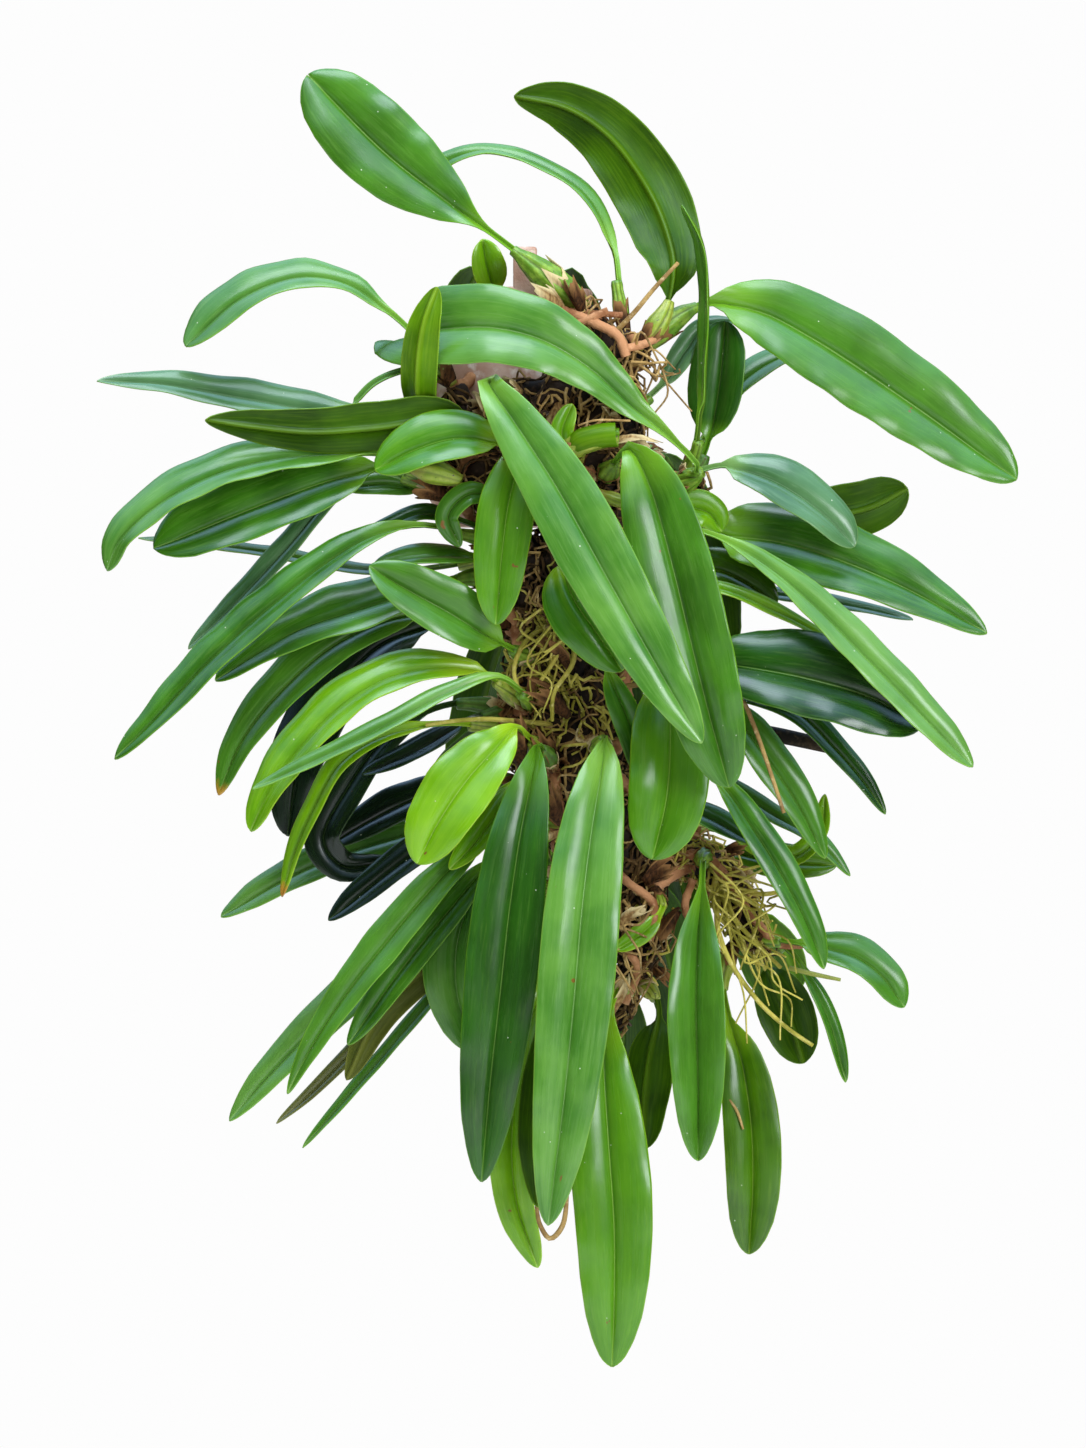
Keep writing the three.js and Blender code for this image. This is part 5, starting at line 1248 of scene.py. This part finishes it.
RHIZOMES = [
    ([(20, -56, -31), (32, -63, -35), (44, -67, -40), (54, -69, -46), (58, -69, -56)], 2.5),
    ([(27, -60, -41), (37, -66, -38), (49, -67, -33)], 1.9),
    ([(30, -60, -33), (41, -60, -34), (56, -57, -35)], 1.6),
    ([(57, -67, -52), (66, -64, -50), (74, -58, -46)], 2.1),
    ([(44, -20, -300), (58, -34, -318), (72, -36, -330), (70, -34, -348)], 2.1),
    ([(84, -14, -306), (98, -22, -306), (110, -22, -318)], 2.6),
    ([(108, -20, -316), (120, -20, -334), (136, -16, -350), (150, -16, -350)], 2.3),
    ([(92, -20, -318), (88, -24, -332), (96, -26, -346)], 2.0),
    ([(56, -34, -350), (64, -30, -362), (58, -24, -380)], 2.0),
]
rhizomes = [ringed(TRUNK, 5)] + [ringed(points, radius) for points, radius in RHIZOMES]


def hanging_roots(name, count, hub, spread, ends, material):
    """A tassel of roots that leave one place and wander down to end points within three ranges."""
    (low_x, high_x), (low_y, high_y), (low_z, high_z) = ends
    lines = []
    for _ in range(count):
        foot = Vector([h + chance.gauss(0, spread) for h in hub])
        end = Vector((chance.uniform(low_x, high_x), chance.uniform(low_y, high_y),
                      chance.uniform(low_z, high_z)))
        points = [foot]
        for share in (0.25, 0.5, 0.75):
            points.append(foot.lerp(end, share) + Vector([chance.gauss(0, 7) for _ in range(3)])
                          + Vector((0, -6 * math.sin(share * math.pi), 4 * math.sin(share * math.pi))))
        lines.append(smooth_line([(*p, 0.8 - 0.09 * i) for i, p in enumerate([*points, end])], 3))
    return strands(name, lines, material)


TASSELS = [
    ("tassel_low", "green", 20, (106, -22, -318), 3, ((106, 150), (-46, -24), (-402, -330))),
    ("tassel_middle", "green", 11, (22, -48, -190), 6, ((-8, 34), (-68, -54), (-240, -200))),
    ("tassel_inner", "tan", 9, (62, -36, -334), 6, ((54, 74), (-46, -30), (-386, -350))),
    ("tassel_crown", "tan", 9, (60, -62, -58), 4, ((62, 92), (-62, -46), (-96, -60))),
]
free += [hanging_roots(name, count, hub, spread, ends, ROOT[colour])
         for name, colour, count, hub, spread, ends in TASSELS]
feet = sorted({tuple(leaves[0]["spine"][0]) for leaves in BRANCHES_OF_LEAVES.values()},
              key=lambda p: -p[2])
for index, foot in enumerate(feet[1:], 1):
    parent = min(feet[:index], key=lambda p: math.dist(p, foot))
    if math.dist(parent, foot) < 75:
        middle = (Vector(parent) + Vector(foot)) / 2
        near, normal, _, _ = surface.find_nearest(middle * MM)
        rhizomes.append(ringed([parent, tuple(near / MM + normal * 3), foot], 3.1))
free.append(strands("rhizomes", rhizomes, ROOT["rhizome"], 3))
mats.append(strands("dead_twig", [smooth_line(TWIG, 5)], ROOT["twig"], 3))

# %% [markdown]
# Some parts are met once. A new leaf is still rolled into a horn, and a thin dead stick lies on
# it. A pseudobulb that has lost its leaf leans left below the vase. A stalk, a stray root and the
# dry loop of an old stalk are lower down.

# %% Single pieces
def rolled_leaf(name, points, radius, turns, materials):
    """A young leaf still rolled up: a scroll round a course, open at its far end."""
    course, length = smooth_course(points)
    share = (COLUMNS[None, :] + 1) / 2 * np.ones((len(ROWS), 1))
    along = length * ROWS[:, None] * (1 - 0.1 * share)
    centre, right, up = ride_along(course, length, along, (0.2, -0.9, 0.4))
    swell = radius * (0.45 + 0.55 * share) * (0.62 + 0.38 * ease(0, 0.35, ROWS))[:, None]
    turn = share * turns * math.tau + 1.2
    spots = (centre + right * (np.cos(turn) * swell)[..., None]
             + up * (np.sin(turn) * swell)[..., None]).reshape(-1, 3)
    values = {"vein_mm": (share * 30).ravel(), "across_mm": 9.0, "edge_mm": ((1 - share) * 30).ravel(),
              "along_mm": along.ravel(), "tip_mm": 60.0, "young": 0.4, "chance": 0.2, "dry": 0.0}
    made = copy_of(blade_template, name, spots, materials, values)
    apply_modifier(made, "SOLIDIFY", thickness=0.9 * MM, offset=1, material_offset=1,
                   material_offset_rim=0)
    return made


def lone_bulb(name, points, girth, material):
    """A pseudobulb on its own course, with no leaf."""
    one = leaf(1, (0.1, -0.95, 0.2), "olive", points)
    _, length = smooth_course(points)
    one.update(bulb=length * 0.97, girth=girth)
    return lay_bulb(one, name, material, chance)


STRAYS = [
    ("stick_on_roll", ROOT["tan"], 2,
     [(34, -87, -91, 0.5), (42, -89, -88.5, 0.7), (60, -89, -88.6, 0.6)]),
    ("dead_loop", ROOT["tan"], 2,
     [(13, -78, -478, 0.9), (15, -79, -489, 1.2), (20, -79, -496, 1.4), (26, -79, -490, 1.2),
      (29, -79, -468, 0.9)]),
    ("root_on_leaf", ROOT["tan"], 2,
     [(110, -33, -428, 0.7), (114, -34, -434, 0.8), (117, -34, -443, 0.6)]),
    ("low_stalk", BULB["green"], 3,
     [(140, -34, -362, 1.4), (152, -34, -365, 1.4), (166, -34, -368, 1.0)]),
]
mats += [
    rolled_leaf("rolled_young_leaf", [(30, -76, -103), (36, -80, -99), (46, -82, -96.5), (55, -83, -96)],
                7.6, 1.5, LEAF_SKINS["bright"]),
    lone_bulb("leafless_bulb", [(-50, -66, -112), (-40, -70, -113), (-24, -72, -118)], 6.2,
              BULB["yellow"]),
    lone_bulb("green_stub", [(44, -70, -124), (54, -74, -128), (64, -76, -131)], 3.4, BULB["yellow"]),
    *[strands(name, [smooth_line(points, step)], material) for name, material, step, points in STRAYS],
]

# %% [markdown]
# Old bract paper clings to the rhizomes and to the mass, torn and curled. Most of it is strewn by a
# rule, and the sheaths that stand out of the mass at the front have courses of their own.

# %% Bract paper on the mass
STREWN_BRACTS = 90
STANDING_BRACTS = [
    ([(6, -50, -262), (2, -60, -246), (-4, -66, -234)], 8, "brown"),
    ([(22, -46, -264), (19, -56, -252), (14, -62, -242)], 6, "brown"),
    ([(30, -50, -236), (16, -60, -224), (4, -66, -220)], 6.5, "brown"),
    ([(30, -52, -212), (24, -60, -200), (14, -66, -192)], 7, "brown"),
    ([(26, -50, -290), (20, -58, -278), (16, -62, -266)], 6, "brown"),
    ([(42, -40, -300), (46, -46, -288), (44, -50, -274)], 6, "brown"),
    ([(24, -44, -330), (30, -50, -318), (30, -54, -304)], 6, "brown"),
    ([(54, -38, -342), (60, -42, -334), (70, -44, -328)], 5, "pale"),
    ([(50, -34, -386), (54, -38, -374), (55, -40, -362)], 5.5, "pale"),
    ([(66, -34, -320), (76, -38, -312), (84, -40, -308)], 6, "brown"),
    ([(86, -24, -332), (80, -28, -340), (76, -30, -352)], 6, "brown"),
    ([(44, -70, -102), (60, -78, -99), (76, -80, -104)], 5, "pale"),
    ([(28, -58, -34), (18, -62, -26), (6, -64, -20)], 6, "pale"),
    ([(36, -60, -34), (33, -64, -24), (30, -64, -14)], 5, "brown"),
    ([(60, -58, -60), (58, -62, -74), (62, -60, -84)], 6, "pale"),
    ([(-30, -58, -128), (-40, -60, -122), (-50, -60, -118)], 7, "brown"),
]
papers = []
for _ in range(STREWN_BRACTS):
    index = chance.randrange(len(core_spots))
    foot, outward = Vector(core_spots[index]), Vector(core_outward[index])
    if outward.y > 0.4:
        continue
    aside = Vector((chance.uniform(-1, 1), chance.uniform(-0.6, 0.2), chance.uniform(-1, 1)))
    lean = (outward + aside).normalized()
    course, length = smooth_course(
        [foot - lean * 4, foot + lean * 8, foot + lean * 20 + Vector((0, 0, -3))], 40)
    papers.append(wrap_sheath(course, length, 1, length * chance.uniform(0.5, 0.95), 2.0,
                              chance.uniform(3, 6), "paper", PAPER[chance.choice(["brown", "pale"])],
                              chance, chance.uniform(0.4, 0.8)))
for points, girth, tone in STANDING_BRACTS:
    course, length = smooth_course(points, 40)
    papers.append(wrap_sheath(course, length, 1, length * 0.97, 2.0, girth, "paper", PAPER[tone],
                              chance, 0.62))
root_mass = place(join("root_mass_grown", [core, *mats]), "rhizome", "root_mass")
print("root mass faces:", len(root_mass.data.polygons))
free_roots = place(join("free_roots_and_rhizomes", free), "rhizome")
print("free root faces:", len(free_roots.data.polygons))
old_bracts = place(join("old_bracts", papers), "rhizome")
print("bract faces:", len(old_bracts.data.polygons))

# %% [markdown]
# ## The vase and its fill
# The vase was thrown on a wheel, so its wall is one profile turned about the axis. Two flat clay
# lugs were pressed on at the rim and pierced for cords. Eight air holes round the belly let the
# roots breathe, and one hole in the foot drains it. The fill is pine bark, up to a low mound.

# %% Vase
WALL = 4
outer = [(31, -140), (39, -129), (47, -116), (54, -94), (53, -72), (48, -50), (39, -31), (41.3, -24)]
silhouette, _ = smooth_course([(r, 0, z) for r, z in outer], 30)
wall = [(r, z) for r, _, z in silhouette]
lip = [(41.6, -22.4), (41.2, -20.8), (39.8, -20.1), (38.2, -20.4), (37.2, -21.6)]
inside = [(r - WALL, z) for r, z in wall[::-1] if z > -134]
profile = [(6, -139.6), (29, -139.6), *wall, *lip, *inside, (26, -135.6), (6, -135.6)]
bpy.ops.mesh.primitive_circle_add(vertices=len(profile), radius=1)
pot = bpy.context.object
pot.name = "vase_thrown"
pot.data.vertices.foreach_set("co", np.array([(r * MM, 0, z * MM) for r, z in profile], np.float32).ravel())
apply_modifier(pot, "SCREW", axis="Z", steps=96, render_steps=96, use_merge_vertices=True,
               merge_threshold=0.01 * MM, use_normal_calculate=True)


def carve(target, tool, operation):
    """Adds or cuts away one solid, and removes the tool."""
    apply_modifier(target, "BOOLEAN", operation=operation, object=tool, solver="EXACT")
    bpy.data.objects.remove(tool)


def rod(place, radius, depth, turn):
    """A plain cylinder to cut a hole with."""
    bpy.ops.mesh.primitive_cylinder_add(vertices=32, radius=radius * MM, depth=depth * MM,
                                        location=Vector(place) * MM, rotation=turn)
    return bpy.context.object


for side in (-1, 1):
    bpy.ops.mesh.primitive_cube_add(size=1, location=(5 * MM, side * 39 * MM, -16.5 * MM))
    lug = bpy.context.object
    lug.scale = (24 * MM, 5 * MM, 33 * MM)
    bpy.ops.object.transform_apply(location=False)
    for corner in (v for v in lug.data.vertices if v.co.z > -17 * MM):
        corner.co.x = 5 * MM + (corner.co.x - 5 * MM) * 0.5
    lug.data.update()
    apply_modifier(lug, "BEVEL", width=1.6 * MM, segments=3)
    carve(pot, lug, "UNION")
for turn in range(8):
    bearing = math.tau * (turn + 0.24) / 8
    carve(pot, rod((-54 * math.sin(bearing), 54 * math.cos(bearing), -82), 3.2, 30,
                   (math.radians(90), 0, bearing)), "DIFFERENCE")
for side in (-1, 1):
    for x in (-1, 11):
        carve(pot, rod((x, side * 39, -14), 2.6, 20, (math.radians(90), 0, 0)), "DIFFERENCE")
pot.data.materials.clear()
pot.data.materials.append(CLAY)
pot.data.shade_smooth()
with bpy.context.temp_override(object=pot, active_object=pot, selected_objects=[pot],
                               selected_editable_objects=[pot]):
    bpy.ops.object.shade_smooth_by_angle(angle=math.radians(35))
place(pot, "clay", "vase")
print("vase faces:", len(pot.data.polygons))

# %% [markdown]
# The mound of bark is a bed with loose chips on it, each a little slab split along the grain.

# %% Bark
bed_profile = [(0, -135), (25, -135), (42, -116), (48.5, -94), (47.5, -72), (42.5, -50), (33.5, -33),
               (20, -28.5), (0, -27)]
bpy.ops.mesh.primitive_circle_add(vertices=len(bed_profile), radius=1)
bed = bpy.context.object
bed.data.vertices.foreach_set(
    "co", np.array([(r * MM, 0, z * MM) for r, z in bed_profile], np.float32).ravel())
bpy.ops.object.mode_set(mode="EDIT")
bpy.ops.mesh.select_all(action="SELECT")
bpy.ops.object.mode_set(mode="OBJECT")
apply_modifier(bed, "SCREW", axis="Z", steps=48, render_steps=48, use_merge_vertices=True,
               merge_threshold=0.01 * MM, use_normal_calculate=True)
bpy.ops.mesh.primitive_cube_add(size=1)
chip_template = bpy.context.object
apply_modifier(chip_template, "BEVEL", width=0.12, segments=1)
bpy.context.scene.collection.objects.unlink(chip_template)
chip_shape = np.array([v.co for v in chip_template.data.vertices])
CHIPS, MOUTH = 80, 31
chips = [bed]
bed.data.materials.clear()
bed.data.materials.append(BARK)
for _ in range(CHIPS):
    reach, bearing = MOUTH * math.sqrt(chance.random()), chance.uniform(0, math.tau)
    size = np.array([chance.uniform(6, 13), chance.uniform(4, 8), chance.uniform(2, 4)])
    tilt = Vector((chance.gauss(0, 0.35), chance.gauss(0, 0.35), 1)).to_track_quat("Z", "Y")
    cos, sin = math.cos(bearing * 7), math.sin(bearing * 7)
    turn = np.array(tilt.to_matrix()) @ np.array([[cos, -sin, 0], [sin, cos, 0], [0, 0, 1]])
    height = -26 - 2.5 * (reach / MOUTH) ** 2 + chance.uniform(-1, 2)
    chips.append(copy_of(chip_template, "chip", (chip_shape * size) @ turn.T
                         + (reach * math.cos(bearing), reach * math.sin(bearing), height), BARK))
place(join("bark_chips", chips), "bark", "bark_fill")
